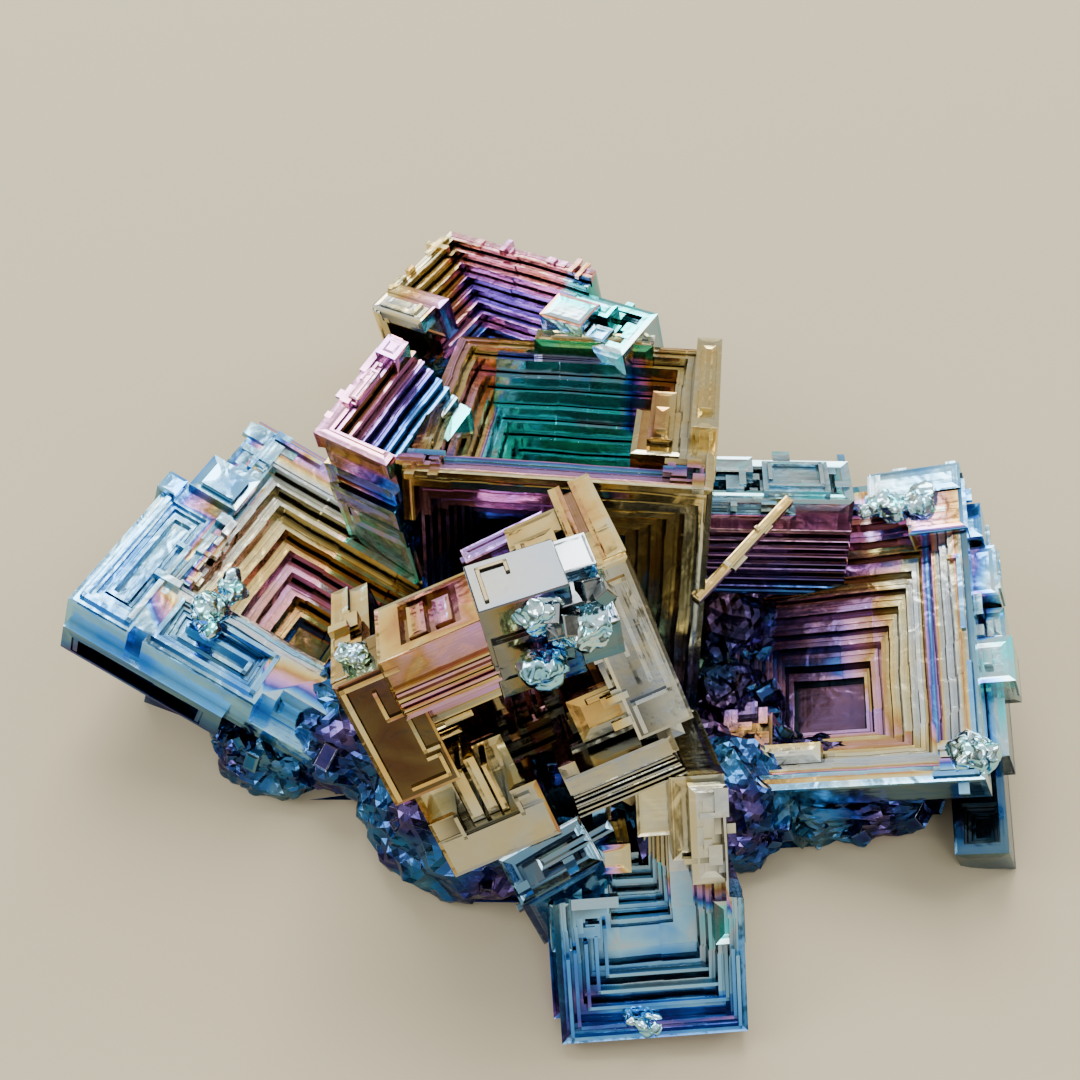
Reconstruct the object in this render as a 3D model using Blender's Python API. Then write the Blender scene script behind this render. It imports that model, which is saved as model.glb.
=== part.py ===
# Bismuth hopper crystal: a cluster of stepped, skeletal crystals grown into one another on a
# crusty root that is cut off flat. Everything is one solid. Sizes are millimetres here and are
# scaled to metres when each crystal is put in its place.
import math
import random

import bmesh
import bpy
from mathutils import Euler, Matrix, Vector, noise

MM = 0.001
NODE = "bismuth_cluster"

# ---- driving dimensions: corner of reference (mm), turn about X, Y, Z (degrees) ----------------
TOWER_AT, TOWER_TURN = (17.1, -5.4, 28.9), (-18.0, -2.0, -7.0)
TOWER_WIDTH, TOWER_LENGTH, TOWER_HEIGHT = 30.8, 33.2, 36.0

WING_AT, WING_TURN = (-22.8, 3.5, 27.9), (8.9, 0.5, -30.6)
WING_WIDTH, WING_LENGTH, WING_HEIGHT = 9.0, 14.5, 30.0

BACK_AT, BACK_TURN = (7.0, 36.3, 22.1), (5.0, -10.5, -35.4)
BACK_WIDTH, BACK_LENGTH, BACK_HEIGHT = 22.6, 16.4, 30.0

LEFT_AT, LEFT_TURN = (-46.9, -11.0, 19.0), (-5.4, 18.8, -24.0)
LEFT_WIDTH, LEFT_LENGTH, LEFT_HEIGHT = 29.0, 32.5, 5.0

RIGHT_AT, RIGHT_TURN = (42.3, -28.9, 14.4), (11.9, -21.3, -9.1)
RIGHT_WIDTH, RIGHT_LENGTH, RIGHT_HEIGHT = 26.5, 34.0, 5.0

FRONT_AT, FRONT_TURN = (7.6, -22.4, 39.5), (61.4, -15.8, 17.2)
FRONT_WIDTH, FRONT_HEIGHT, FRONT_DEPTH = 27.2, 22.0, 26.0

FOOT_AT, FOOT_TURN = (19.5, -48.2, 2.1), (51.3, -2.0, 3.5)
FOOT_WIDTH, FOOT_LENGTH, FOOT_DEPTH = 17.2, 24.5, 20.0

SILVER_AT, SILVER_TURN = (-4.7, -28.4, 39.6), (-4.0, -8.0, 16.0)
SILVER_SIZE = (7.8, 5.4, 12.0)
NOTCH_AT, NOTCH_TURN = (-1.3, -41.6, 14.2), (4.0, -12.0, 26.0)
NOTCH_SIZE = (8.2, 4.8, 13.0)
REAR_AT, REAR_TURN = (33.3, 1.1, 20.2), (-14.0, -3.0, -4.0)
REAR_SIZE = (16.5, 7.5, 22.0)

# ---- crusty root: centre (mm) and half sizes (mm) of each lump ---------------------------------
ROOT_LUMPS = (
    ((-5.7, -23.4, 3.0), (13.0, 12.5, 8.5)), ((7.3, -24.4, 3.0), (14.0, 12.0, 9.0)),
    ((-15.7, -16.4, 4.0), (12.0, 9.0, 8.0)), ((-27.2, -17.4, 2.0), (8.0, 6.5, 5.5)),
    ((19.3, -23.4, 2.0), (9.0, 9.0, 6.5)), ((30.3, -22.4, 1.0), (13.0, 7.0, 5.0)),
    ((-9.7, 27.6, 3.0), (16.0, 13.0, 9.0)), ((7.3, 22.6, 3.0), (13.0, 12.0, 8.0)),
    ((21.3, 1.6, 1.0), (9.0, 11.0, 8.0)), ((20.6, -11.8, 0.0), (6.4, 6.4, 6.0)),
)


def clear_scene():
    for ob in list(bpy.data.objects):
        bpy.data.objects.remove(ob, do_unlink=True)


def to_object(name, bm):
    bmesh.ops.recalc_face_normals(bm, faces=bm.faces[:])
    me = bpy.data.meshes.new(name)
    bm.to_mesh(me)
    bm.free()
    ob = bpy.data.objects.new(name, me)
    bpy.context.scene.collection.objects.link(ob)
    return ob


def block(lo, hi, name="block"):
    """A rectangular solid between two opposite corners."""
    bm = bmesh.new()
    bmesh.ops.create_cube(bm, size=1.0)
    for v in bm.verts:
        v.co = Vector([lo[i] + (v.co[i] + 0.5) * (hi[i] - lo[i]) for i in range(3)])
    return to_object(name, bm)


def steps(outer, inner, first, last, count, seed=1, wobble=0.18):
    """Nested rectangles (a0, a1, b0, b1, level) from the rim of a hollow to its floor."""
    rnd = random.Random(seed)
    rings = []
    for i in range(count):
        t = i / (count - 1)
        ring = []
        for k in range(4):
            gap = (inner[k] - outer[k]) / (count - 1)
            shake = rnd.uniform(-wobble, wobble) if 0 < i < count - 1 else 0.0
            ring.append(outer[k] + gap * (i + shake))
        ring.append(first + (last - first) * t)
        rings.append(ring)
    return rings


def reach(face, ring, level, order):
    """Put a rectangle's corners on a ring of a hollow, keeping each corner on its own side."""
    middle = face.calc_center_median()
    for v in face.verts:
        for side, (low, high) in zip(order, (ring[0:2], ring[2:4])):
            v.co[side] = low if v.co[side] < middle[side] else high
        v.co[order[2]] = level


def stepped(rings, mouth, side):
    """The solid that fills a stepped hollow: it is cut away to leave the hollow.
    side: the two in-plane axes and the axis it goes in along, such as 'xyz' or 'xzy'."""
    order = ["xyz".index(c) for c in side]
    bm = bmesh.new()
    bmesh.ops.create_cube(bm, size=1.0)
    floor = min(bm.faces, key=lambda f: f.calc_center_median()[order[2]])
    lid = max(bm.faces, key=lambda f: f.calc_center_median()[order[2]])
    reach(lid, rings[0], mouth, order)
    reach(floor, rings[0], rings[0][4], order)
    for upper, ring in zip(rings, rings[1:]):
        for level in (upper[4], ring[4]):
            floor = bmesh.ops.extrude_discrete_faces(bm, faces=[floor])["faces"][0]
            reach(floor, ring, level, order)
    return to_object("hollow", bm)


def combine(ob, other, how):
    """Boolean of one solid with another; the other is used up."""
    other.hide_render = True
    other.display_type = "WIRE"
    mod = ob.modifiers.new("solid", "BOOLEAN")
    mod.operation = how
    mod.solver = "EXACT"
    mod.object = other
    deps = bpy.context.evaluated_depsgraph_get()
    me = bpy.data.meshes.new_from_object(ob.evaluated_get(deps))
    ob.modifiers.clear()
    old = ob.data
    ob.data = me
    bpy.data.meshes.remove(old)
    bpy.data.objects.remove(other, do_unlink=True)
    return ob


def add(ob, lo, hi):
    return combine(ob, block(lo, hi), "UNION")


def cut(ob, lo, hi):
    return combine(ob, block(lo, hi), "DIFFERENCE")


def sink(ob, rings, mouth, side):
    return combine(ob, stepped(rings, mouth, side), "DIFFERENCE")


def put(ob, at, turn):
    """Move a finished crystal from its own axes to its place in the cluster."""
    spin = Euler([math.radians(a) for a in turn], "XYZ").to_matrix().to_4x4()
    ob.data.transform(Matrix.Translation(Vector(at)) @ spin)
    return ob


def lump(centre, half, seed):
    """A faceted, crusty ball of many small crystals grown over one another."""
    bm = bmesh.new()
    bmesh.ops.create_icosphere(bm, subdivisions=2, radius=1.0)
    shift = Vector((seed * 3.7, seed * 1.3, 0.0))
    for v in bm.verts:
        swell = 1.0 + 0.28 * noise.noise(v.co * 1.9 + shift)
        v.co = Vector([centre[i] + v.co[i] * half[i] * swell for i in range(3)])
    return to_object("lump", bm)


def crystallites(count=26):
    """Small blocks that stand out of the root's flanks at all angles."""
    rnd = random.Random(8)
    out = []
    for i in range(count):
        centre, half = ROOT_LUMPS[i % 9]
        around, size = rnd.uniform(0, math.tau), rnd.uniform(1.4, 2.6)
        at = (centre[0] + 0.86 * half[0] * math.cos(around),
              centre[1] + 0.86 * half[1] * math.sin(around), rnd.uniform(0.8, 0.55 * half[2]))
        turn = [rnd.uniform(-35, 35) for _ in range(2)] + [rnd.uniform(0, 90)]
        out.append(put(block((-size, -size, -size), (size * 1.3, size, size), "grain"), at, turn))
    return out


def tower():
    """The big upright crystal: a deep pit on top and a second one in its front."""
    w, l, h = TOWER_WIDTH, TOWER_LENGTH, TOWER_HEIGHT
    ob = block((-w, 0, -h), (0, l, 0), NODE)
    add(ob, (-2.6, 10.5, -5), (0.25, l + 0.25, 1.4))
    add(ob, (-21.5, l - 2.6, -5), (-7.6, l + 0.4, 1.3))
    sink(ob, steps((-w + 1.6, -1.6, -h + 5, -2.4), (-w + 9, -9.5, -h + 14, -11.0), 1.4, 8.4, 6, 5),
         -3, "xzy")
    cut(ob, (-w - 4, -2, -19), (-24.4, 6.5, -5.8))
    cut(ob, (-w - 4, -2, -17), (-20.6, 9.5, -8.4))
    sink(ob, steps((2.2, l - 2.2, -h + 8, -2.6), (11, l - 11, -h + 15, -12), -1.1, -6.8, 6, 7),
         4, "yzx")
    sink(ob, steps((-w + 2, -2, -h + 8, -2.4), (-w + 10, -10, -h + 14, -11), l - 1.2, l - 6.6, 6, 9),
         l + 4, "xzy")
    return put(ob, TOWER_AT, TOWER_TURN)


def tower_pit():
    """What is taken out of the tower's top once its neighbours have grown into it."""
    rings = steps((-TOWER_WIDTH + 2.0, -4.2, 4.8, TOWER_LENGTH - 2.9), (-19.5, -11.0, 17.0, 21.5),
                  -1.2, -15.0, 10, 3)
    return put(stepped(rings, 7, "xyz"), TOWER_AT, TOWER_TURN)


def tower_ledges():
    """Blocks that stand in the right front corner of the tower's pit."""
    low = block((-8.6, 8.2, -9), (-3.2, 18.5, -0.9))
    high = add(low, (-7.0, 9.2, -9), (-4.4, 20.5, 0.4))
    return put(high, TOWER_AT, TOWER_TURN)


def wing():
    """A thin crystal grown into the tower's left side, its ledges going down towards it."""
    w, l, h = WING_WIDTH, WING_LENGTH, WING_HEIGHT
    ob = block((0, 0, -h), (w, l, 0), "wing")
    sink(ob, steps((1.5, w + 2, 1.3, l + 2), (7.8, w + 1, 4.0, l + 1), -1.2, -7.6, 6, 61, 0.1),
         4, "xyz")
    cut(ob, (-1, -1, -5.4), (w + 1, 0.8, -2.6))
    cut(ob, (1.0, -1, -15), (w + 1, 2.4, -7.2))
    cut(ob, (2.6, -1, -14), (w + 1, 5.5, -8.6))
    sink(ob, steps((2.5, l - 2, -14, -2.2), (7, l - 7, -10, -6), 1.0, 3.2, 3, 4), -3, "yzx")
    return put(ob, WING_AT, WING_TURN)


def back():
    """The crystal behind the tower, a corner of steps rising to the left and the back."""
    w, l, h = BACK_WIDTH, BACK_LENGTH, BACK_HEIGHT
    ob = block((-w, -l, -h), (0, 0, 0), "back")
    sink(ob, steps((-w + 1.7, 1.4, -l - 1.2, -1.5), (-w + 9.5, 1.0, -l - 1.0, -7.6), -1.0, -8.5, 7, 11),
         4, "xyz")
    add(ob, (-w, -l + 0.4, -4.6), (-w + 8.6, -l + 5, 0.3))
    add(ob, (-2.6, -8.6, -9), (3.4, -4.4, -0.8))
    add(ob, (-1, -9.4, -30), (9.4, -1.6, -2.6))
    sink(ob, steps((2.2, 8.2, -8.0, -2.8), (4.2, 6.4, -6.2, -4.6), -3.6, -6.4, 3, 2), 1, "xyz")
    cut(ob, (-w + 1.8, -l - 1, -12), (-w + 7.6, -l + 3.0, -1.6))
    sink(ob, steps((-w + 1.8, -1.8, -h + 14, -2.2), (-w + 8, -8, -h + 20, -8), -1.1, -5.6, 5, 13),
         4, "xzy")
    sink(ob, steps((-l + 5.4, -1.6, -h + 14, -3.6), (-l + 8, -6, -h + 19, -9), -w + 1.2, -w + 4.4, 4, 14),
         -w - 4, "yzx")
    return put(ob, BACK_AT, BACK_TURN)


def left():
    """The tilted crystal on the left: a square pit with a broken double rim."""
    w, l, h = LEFT_WIDTH, LEFT_LENGTH, LEFT_HEIGHT
    ob = block((0, 0, -h), (w, l, 0), "left")
    add(ob, (0.4, -0.9, -7.6), (w - 10, 20, -h + 1.4))
    add(ob, (9, 3.2, -34), (w + 6, l - 4, -h))
    sink(ob, steps((8.0, w + 1.6, 8.7, l - 5.0), (19.5, 23.0, 14.4, 17.4), -1.2, -10.0, 8, 21),
         4, "xyz")
    sink(ob, steps((1.9, 5.6, 2.6, 16.5), (3.2, 4.6, 4.0, 15.0), -0.6, -1.2, 2, 23), 4, "xyz")
    sink(ob, steps((9.4, w - 6.4, 1.9, 6.9), (10.6, w - 7.6, 3.2, 5.6), -0.6, -1.2, 2, 24), 4, "xyz")
    add(ob, (-0.7, 17.0, -4), (1.5, 19.6, 0.6))
    add(ob, (1.8, 19.4, -4), (7.6, 24.6, 0.5))
    cut(ob, (-2, 19.9, -9), (1.9, 25.0, 2))
    cut(ob, (-2, 24.2, -9), (3.1, l + 1, 2))
    cut(ob, (6.9, -2, -3.4), (8.6, 1.2, 1))
    cut(ob, (21.4, -2, -3.4), (23.0, 1.9, 1))
    cut(ob, (22.9, -2, -3.4), (w + 1, 3.4, 1))
    sink(ob, steps((1.6, w - 12, -7.0, -h + 0.4), (5, w - 16, -6.5, -h - 0.4), 0.0, 2.6, 3, 22), -4, "xzy")
    add(ob, (w - 6.0, 3.4, -6), (w + 1.4, 9.4, -1.6))
    sink(ob, steps((12, w + 3, -19, -h - 1.2), (17, w - 2, -15, -9), l - 5.2, l - 9, 5, 25), l + 2, "xzy")
    sink(ob, steps((6, l - 7, -15, -h - 1.0), (11, l - 12, -12, -8), 10.2, 14.4, 4, 26), 5, "yzx")
    return put(ob, LEFT_AT, LEFT_TURN)


def right():
    """The broad crystal on the right: a deep square pit, open on the side of the tower."""
    w, l, h = RIGHT_WIDTH, RIGHT_LENGTH, RIGHT_HEIGHT
    ob = block((-w, 0, -h), (0, l, 0), "right")
    add(ob, (-w + 1.2, 3.4, -13.5), (-2.5, l - 3, -h + 1))
    sink(ob, steps((-w - 3, -2.4, 2.2, l - 3.2), (-20.0, -13.0, 9.6, 14.6), -1.1, -9.4, 9, 31),
         4, "xyz")
    add(ob, (-w + 0.2, 4.0, -9), (-w + 5.4, 9.4, -2.4))
    cut(ob, (-w - 1, 29.5, -6), (-19.2, l + 1, 2))
    cut(ob, (-w - 1, 26.0, -6), (-22.4, l + 1, 2))
    add(ob, (-9.6, l - 2.2, -3), (-0.2, l + 0.9, 0.7))
    add(ob, (-5.8, l - 7.0, -3), (0.2, l - 1.0, 0.5))
    add(ob, (-2.0, 20.6, -8), (2.4, 26.4, -2.8))
    add(ob, (-2.4, 11.6, -10), (3.2, 16.6, -4.2))
    add(ob, (-3.0, 4.6, -12), (1.8, 12.6, -6.4))
    add(ob, (-4.4, -4.3, -15), (0.8, 7.0, -9.4))
    sink(ob, steps((-3.5, -0.1, -3.4, 0.8), (-2.4, -1.2, -2.3, -0.2), -10.0, -11.4, 3, 33), -6, "xyz")
    sink(ob, steps((4, l - 4, -12, -h), (10, l - 10, -10, -7), -1.6, -5.0, 4, 35), 4, "yzx")
    sink(ob, steps((-w + 4, -5, -12, -h), (-w + 9, -9, -10.4, -7), l - 2.4, l - 6.0, 4, 36),
         l + 4, "xzy")
    return put(ob, RIGHT_AT, RIGHT_TURN)


def front():
    """The skeletal crystal in front: two top plates, two arms and a hollow between them."""
    w, h, d = FRONT_WIDTH, FRONT_HEIGHT, FRONT_DEPTH
    ob = block((-w + 1.4, -h + 2.4, -d), (-1.2, -6.6, -2.2), "front")
    sink(ob, steps((-w + 5, -4.6, -h - 1, -5.6), (-17.5, -11.5, -h + 6, -11.5), -3.4, -13.0, 7, 41),
         1, "xyz")
    add(ob, (-5.2, -17.0, -8), (0, 0, 0))
    add(ob, (-4.1, -7.6, -20.5), (0.15, 0.15, -1))
    add(ob, (-9.4, -7.4, -17.5), (-4.0, -0.6, -12.0))
    cut(ob, (-2.9, -1.1, -18), (-1.9, 1, -3))
    add(ob, (-w, -13.6, -7), (-w + 6.3, -0.6, -0.2))
    add(ob, (-w - 0.1, -7.6, -19.6), (-w + 3.5, -0.5, -1))
    add(ob, (-22.8, -6.0, -10.6), (-13.0, 0, 0.15))
    add(ob, (-22.0, -7.4, -10.2), (-13.6, -5.0, -1.4))
    cut(ob, (-20.6, -0.8, -9.4), (-15.0, 1, -1.6))
    cut(ob, (-21.0, -3.9, -0.9), (-14.4, -2.7, 1))
    sink(ob, steps((-w + 1.6, -w + 4.9, -12.4, -3.0), (-w + 2.9, -w + 3.7, -10.6, -4.8),
                   -1.0, -2.2, 3, 42), 3, "xyz")
    add(ob, (-12.9, -22.0, -4.2), (-2.4, -17.0, -0.3))
    cut(ob, (-11.4, -20.4, -1.3), (-4.0, -18.2, 1))
    add(ob, (-25.4, -22.8, -4.4), (-15.0, -16.6, 0))
    cut(ob, (-23.6, -20.6, -1.0), (-17.0, -18.6, 1))
    cut(ob, (-22.0, -18.8, -2.0), (-18.0, -16.0, 1))
    add(ob, (-10.0, -17.0, -10), (-4.6, -12.4, -3.2))
    add(ob, (-24.6, -21, -16), (-16.6, -13.2, -4))
    add(ob, (-12.4, -21.4, -16), (-3.4, -17.4, -4))
    sink(ob, steps((-14.5, -2, -17, -2.5), (-10, -6, -12, -7), -0.8, -3.4, 4, 43), 3, "yzx")
    sink(ob, steps((-16, -8.4, -22, -8.5), (-13, -11, -18, -12), -w + 2.4, -w + 5, 4, 44), -w - 3, "yzx")
    return put(ob, FRONT_AT, FRONT_TURN)


def foot():
    """The crystal low in front, its pit facing outward and up."""
    w, l, d = FOOT_WIDTH, FOOT_LENGTH, FOOT_DEPTH
    ob = block((-w, 0, -d), (0, l - 3.2, 0), "foot")
    add(ob, (-9.0, l - 6, -d), (-1.0, l, -0.6))
    cut(ob, (-1.2, 13.2, -d - 1), (1, l + 1, 2))
    sink(ob, steps((-w + 1.7, -1.9, 2.4, l + 2), (-13.2, -4.2, 6.8, l + 1), -1.0, -3.2, 3, 51, 0.1),
         3, "xyz")
    sink(ob, steps((-11.9, -6.2, 9.6, l + 1.6), (-10.9, -8.6, 16.2, l + 0.6), -4.4, -9.6, 5, 52, 0.1),
         -2, "xyz")
    cut(ob, (-w - 1, 13.8, -9.0), (-w + 4.2, l + 1, 2))
    add(ob, (-13.0, 15.6, -8), (-9.8, 18.4, -1.8))
    add(ob, (-w - 0.6, 1.6, -10), (-w + 1, 12.8, -1.8))
    sink(ob, steps((2.5, 12, -13, -5), (5, 9, -11, -7), -0.9, -2.8, 3, 53), 3, "yzx")
    return put(ob, FOOT_AT, FOOT_TURN)


def small_hopper(name, at, turn, size, rim, pit, hand=1):
    """A small crystal with a three-step pit on top; it grows away from its reference corner."""
    w, l, h = size
    low, high = (0, w) if hand > 0 else (-w, 0)
    ob = block((low, 0, -h), (high, l, 0), name)
    inner = (low + w * 0.38, high - w * 0.38, l * 0.38, l * 0.62)
    sink(ob, steps((low + rim, high - rim, rim, l - rim), inner, -pit / 3, -pit, 3, 5), 3, "xyz")
    return put(ob, at, turn)


def splinters():
    """Thin bars and plates that bridge the bigger crystals."""
    bar = put(block((-2.5, -0.9, -1.6), (15.5, 0.9, 0), "bar"), (17.1, -8.8, 17.8), (8.0, -11.0, 46.8))
    plate = put(block((-9, -0.8, -7), (0, 0.8, 0), "plate"), (0.8, -5.9, 25.5), (20.0, -14.0, 22.0))
    return bar, plate


def assemble():
    body = tower()
    parts = [wing(), back(), left(), right(), front(), foot(), *splinters()]
    parts.append(small_hopper("silver", SILVER_AT, SILVER_TURN, SILVER_SIZE, 1.3, 1.5))
    parts.append(small_hopper("notch", NOTCH_AT, NOTCH_TURN, NOTCH_SIZE, 1.1, 2.4))
    parts.append(small_hopper("rear", REAR_AT, REAR_TURN, REAR_SIZE, 1.6, 2.4, -1))
    parts += crystallites()
    parts += [lump(centre, half, i) for i, (centre, half) in enumerate(ROOT_LUMPS)]
    for other in parts:
        combine(body, other, "UNION")
    combine(body, tower_pit(), "DIFFERENCE")
    combine(body, tower_ledges(), "UNION")
    cut(body, (-90, -90, -60), (90, 90, 0))
    return body


def main():
    clear_scene()
    body = assemble()
    middle = sum((Vector(c) for c in body.bound_box), Vector()) / 8
    body.data.transform(Matrix.Scale(MM, 4) @ Matrix.Translation((-middle.x, -middle.y, 0)))
    mat = bpy.data.materials.new("bismuth")
    mat.use_nodes = True
    shader = mat.node_tree.nodes["Principled BSDF"]
    shader.inputs["Base Color"].default_value = (0.62, 0.48, 0.42, 1.0)
    shader.inputs["Metallic"].default_value = 1.0
    shader.inputs["Roughness"].default_value = 0.24
    body.data.materials.clear()
    body.data.materials.append(mat)
    body.name = NODE


main()
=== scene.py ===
import math
import random

import bmesh
import bpy
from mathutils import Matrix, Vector
from mathutils.bvhtree import BVHTree


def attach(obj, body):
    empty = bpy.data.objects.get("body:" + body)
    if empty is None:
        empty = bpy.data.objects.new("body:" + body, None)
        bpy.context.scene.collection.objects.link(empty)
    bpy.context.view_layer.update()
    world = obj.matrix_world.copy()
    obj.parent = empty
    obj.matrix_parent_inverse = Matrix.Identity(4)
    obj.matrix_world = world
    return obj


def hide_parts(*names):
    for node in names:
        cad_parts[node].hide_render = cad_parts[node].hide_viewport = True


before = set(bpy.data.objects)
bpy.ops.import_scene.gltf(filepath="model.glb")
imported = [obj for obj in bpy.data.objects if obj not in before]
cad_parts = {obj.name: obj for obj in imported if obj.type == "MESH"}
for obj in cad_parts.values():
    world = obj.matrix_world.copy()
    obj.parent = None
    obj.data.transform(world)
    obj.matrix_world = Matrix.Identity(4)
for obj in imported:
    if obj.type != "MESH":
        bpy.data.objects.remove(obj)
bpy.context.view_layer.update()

# Tower: the big upright crystal. Bismuth grown from the melt as a square skeleton, with a deep
# stepped pit on top and another in its front; the oxide film on it runs from gold to green.
MM = 0.001
SETTLE = Vector((0.028, 0.038, 0.0))  # mm, brings the middle of the solid's box to the origin
CELL = 3.7  # mm between the places where a ledge may jump
LEVEL = 0.35  # mm between heights that get their own shade of film
GROOVE_LIGHT = 0.16  # what is left of the colour where no light gets in


def alone(ob):
    bpy.ops.object.select_all(action="DESELECT")
    ob.select_set(True)
    bpy.context.view_layer.objects.active = ob


def block(lo, hi, name="block"):
    """A rectangular bar of metal between two opposite corners, in the crystal's own axes."""
    bpy.ops.object.select_all(action="DESELECT")
    middle = [(a + b) / 2 * MM for a, b in zip(lo, hi)]
    size = [(b - a) * MM for a, b in zip(lo, hi)]
    bpy.ops.mesh.primitive_cube_add(size=1.0, location=middle, scale=size)
    ob = bpy.context.object
    ob.name = name
    bpy.ops.object.transform_apply(location=True, rotation=True, scale=True)
    return ob


def pick(ob, score):
    """Select the one face that scores highest."""
    bpy.ops.mesh.select_mode(type="FACE")
    bpy.ops.mesh.select_all(action="DESELECT")
    mesh = bmesh.from_edit_mesh(ob.data)
    face = max(mesh.faces, key=score)
    face.select = True
    mesh.faces.active = face
    mesh.select_flush(True)
    bmesh.update_edit_mesh(ob.data)
    return min(edge.calc_length() for edge in face.edges)


def ridged(ob, seed, turns=3, width=0.45, rise=0.13):
    """Growth lines: every flat side is inset a few times, each ring a little higher or lower."""
    rnd = random.Random(seed)
    alone(ob)
    bpy.ops.object.mode_set(mode="EDIT")
    for axis in range(3):
        for way in (-1, 1):
            short = pick(ob, lambda f: f.calc_area() if f.normal[axis] * way > 0.9 else 0)
            widest = short * 0.42 / turns
            for _ in range(turns):
                wide = min(width * MM * rnd.uniform(0.5, 1.6), widest)
                bpy.ops.mesh.inset(thickness=wide, depth=rise * MM * rnd.choice((-1.2, -0.7, 0.5, 1)))
    bpy.ops.object.mode_set(mode="OBJECT")
    return ob


def slab(lo, hi, seed=1, turns=2, width=0.4, rise=0.07):
    return ridged(block(lo, hi), seed, turns, width, rise)


def slabs(*rows):
    return [slab(*row) for row in rows]


def terraces(outer, inner, first, last, count, seed=1, wobble=0.18):
    """Nested rectangles (a0, a1, b0, b1, level) from the rim of a pit to its floor."""
    rnd = random.Random(seed)
    rings = []
    for i in range(count):
        ring = []
        for k in range(4):
            gap = (inner[k] - outer[k]) / (count - 1)
            shake = rnd.uniform(-wobble, wobble) if 0 < i < count - 1 else 0.0
            ring.append(outer[k] + gap * (i + shake))
        ring.append(first + (last - first) * i / (count - 1))
        rings.append(ring)
    return rings


def fine(rings, seed):
    """Part each ledge from the next by a narrow groove that goes deeper than both."""
    rnd = random.Random(seed)
    path = [rings[0]]
    for upper, ring in zip(rings, rings[1:]):
        drop = upper[4] - ring[4]
        edge, foot = rnd.uniform(0.5, 0.62), rnd.uniform(0.8, 0.9)
        groove = drop * rnd.uniform(1.25, 1.6)
        lip = min(0.12, 0.12 * abs(drop)) * rnd.choice((1.0, -0.6))
        for along, fall in ((0.16, 0), (0.16, lip), (edge, lip), (edge, groove), (foot, groove),
                            (foot, drop), (1, drop)):
            path.append([a + (b - a) * along for a, b in zip(upper[:4], ring[:4])] + [upper[4] - fall])
    return path


def reshape(old, new, order):
    """Take the selected face from one rectangle and level to the next."""
    (a, b, c), centre, scale, move = order, [0.0] * 3, [1.0] * 3, [0.0] * 3
    for axis, i in ((a, 0), (b, 2)):
        scale[axis] = (new[i + 1] - new[i]) / (old[i + 1] - old[i])
        centre[axis] = (old[i] + old[i + 1]) / 2 * MM
        move[axis] = (new[i] + new[i + 1]) / 2 * MM - centre[axis]
    centre[c], move[c] = old[4] * MM, (new[4] - old[4]) * MM
    bpy.ops.mesh.extrude_region_move(TRANSFORM_OT_translate={"value": (0, 0, 0)})
    if old[:4] != new[:4]:
        bpy.ops.transform.resize(value=scale, center_override=centre)
    bpy.ops.transform.translate(value=move)


def jog(ob, order, low, high, wave):
    """Let the ledges wander and jump a little, as they do where growth was uneven. Two cuts close
    to each other make each jump a sharp one."""
    bpy.ops.mesh.select_all(action="SELECT")
    for axis, start, stop in ((order[0], low[0], high[0]), (order[1], low[1], high[1])):
        for cell in range(math.ceil(start / CELL), math.floor(stop / CELL) + 1):
            for side in (-0.06, 0.06):
                spot, normal = [0.0] * 3, [0.0] * 3
                spot[axis], normal[axis] = (cell * CELL + side) * MM, 1.0
                bpy.ops.mesh.select_all(action="SELECT")
                bpy.ops.mesh.bisect(plane_co=spot, plane_no=normal)
    bpy.ops.object.mode_set(mode="OBJECT")
    for kind, size, strength in (("CELL_NOISE", CELL, wave), ("BLENDER_ORIGINAL", 6.1, wave * 3)):
        cloud = bpy.data.textures.new("growth", "CLOUDS")
        cloud.noise_basis, cloud.noise_scale, cloud.noise_depth = kind, size * MM, 0
        for axis in order[:2]:
            mod = ob.modifiers.new("jog", "DISPLACE")
            mod.texture, mod.strength, mod.mid_level = cloud, strength * MM, 0.5
            mod.direction = "XYZ"[axis]
            bpy.ops.object.modifier_apply(modifier=mod.name)


def pit(rings, mouth, side, seed=1, wave=0.13):
    """The shape of a stepped pit: it is taken away from the metal."""
    order = ["xyz".index(c) for c in side]
    path = fine(rings, seed)
    lo, hi = [0.0] * 3, [0.0] * 3
    for axis, i in ((order[0], 0), (order[1], 2)):
        lo[axis], hi[axis] = path[0][i], path[0][i + 1]
    down = -1 if mouth > path[0][4] else 1
    lo[order[2]], hi[order[2]] = sorted((path[0][4], mouth))
    ob = block(lo, hi, "pit")
    bpy.ops.object.mode_set(mode="EDIT")
    pick(ob, lambda f: f.normal[order[2]] * down)
    for old, new in zip(path, path[1:]):
        reshape(old, new, order)
    jog(ob, order, (path[0][0], path[0][2]), (path[0][1], path[0][3]), wave)
    return ob


def combined(ob, other, how):
    alone(ob)
    mod = ob.modifiers.new("solid", "BOOLEAN")
    mod.operation, mod.solver, mod.object = how, "EXACT", other
    bpy.ops.object.modifier_apply(modifier=mod.name)
    bpy.data.objects.remove(other, do_unlink=True)
    return ob


def without(ob, other):
    return combined(ob, other, "DIFFERENCE")


def fused(ob, other):
    return combined(ob, other, "UNION")


def notch(ob, lo, hi):
    return without(ob, block(lo, hi))


def grown(ob, *others):
    """Blocks that have grown on a crystal become part of it."""
    alone(ob)
    for other in others:
        other.select_set(True)
    bpy.ops.object.join()
    return ob


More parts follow.
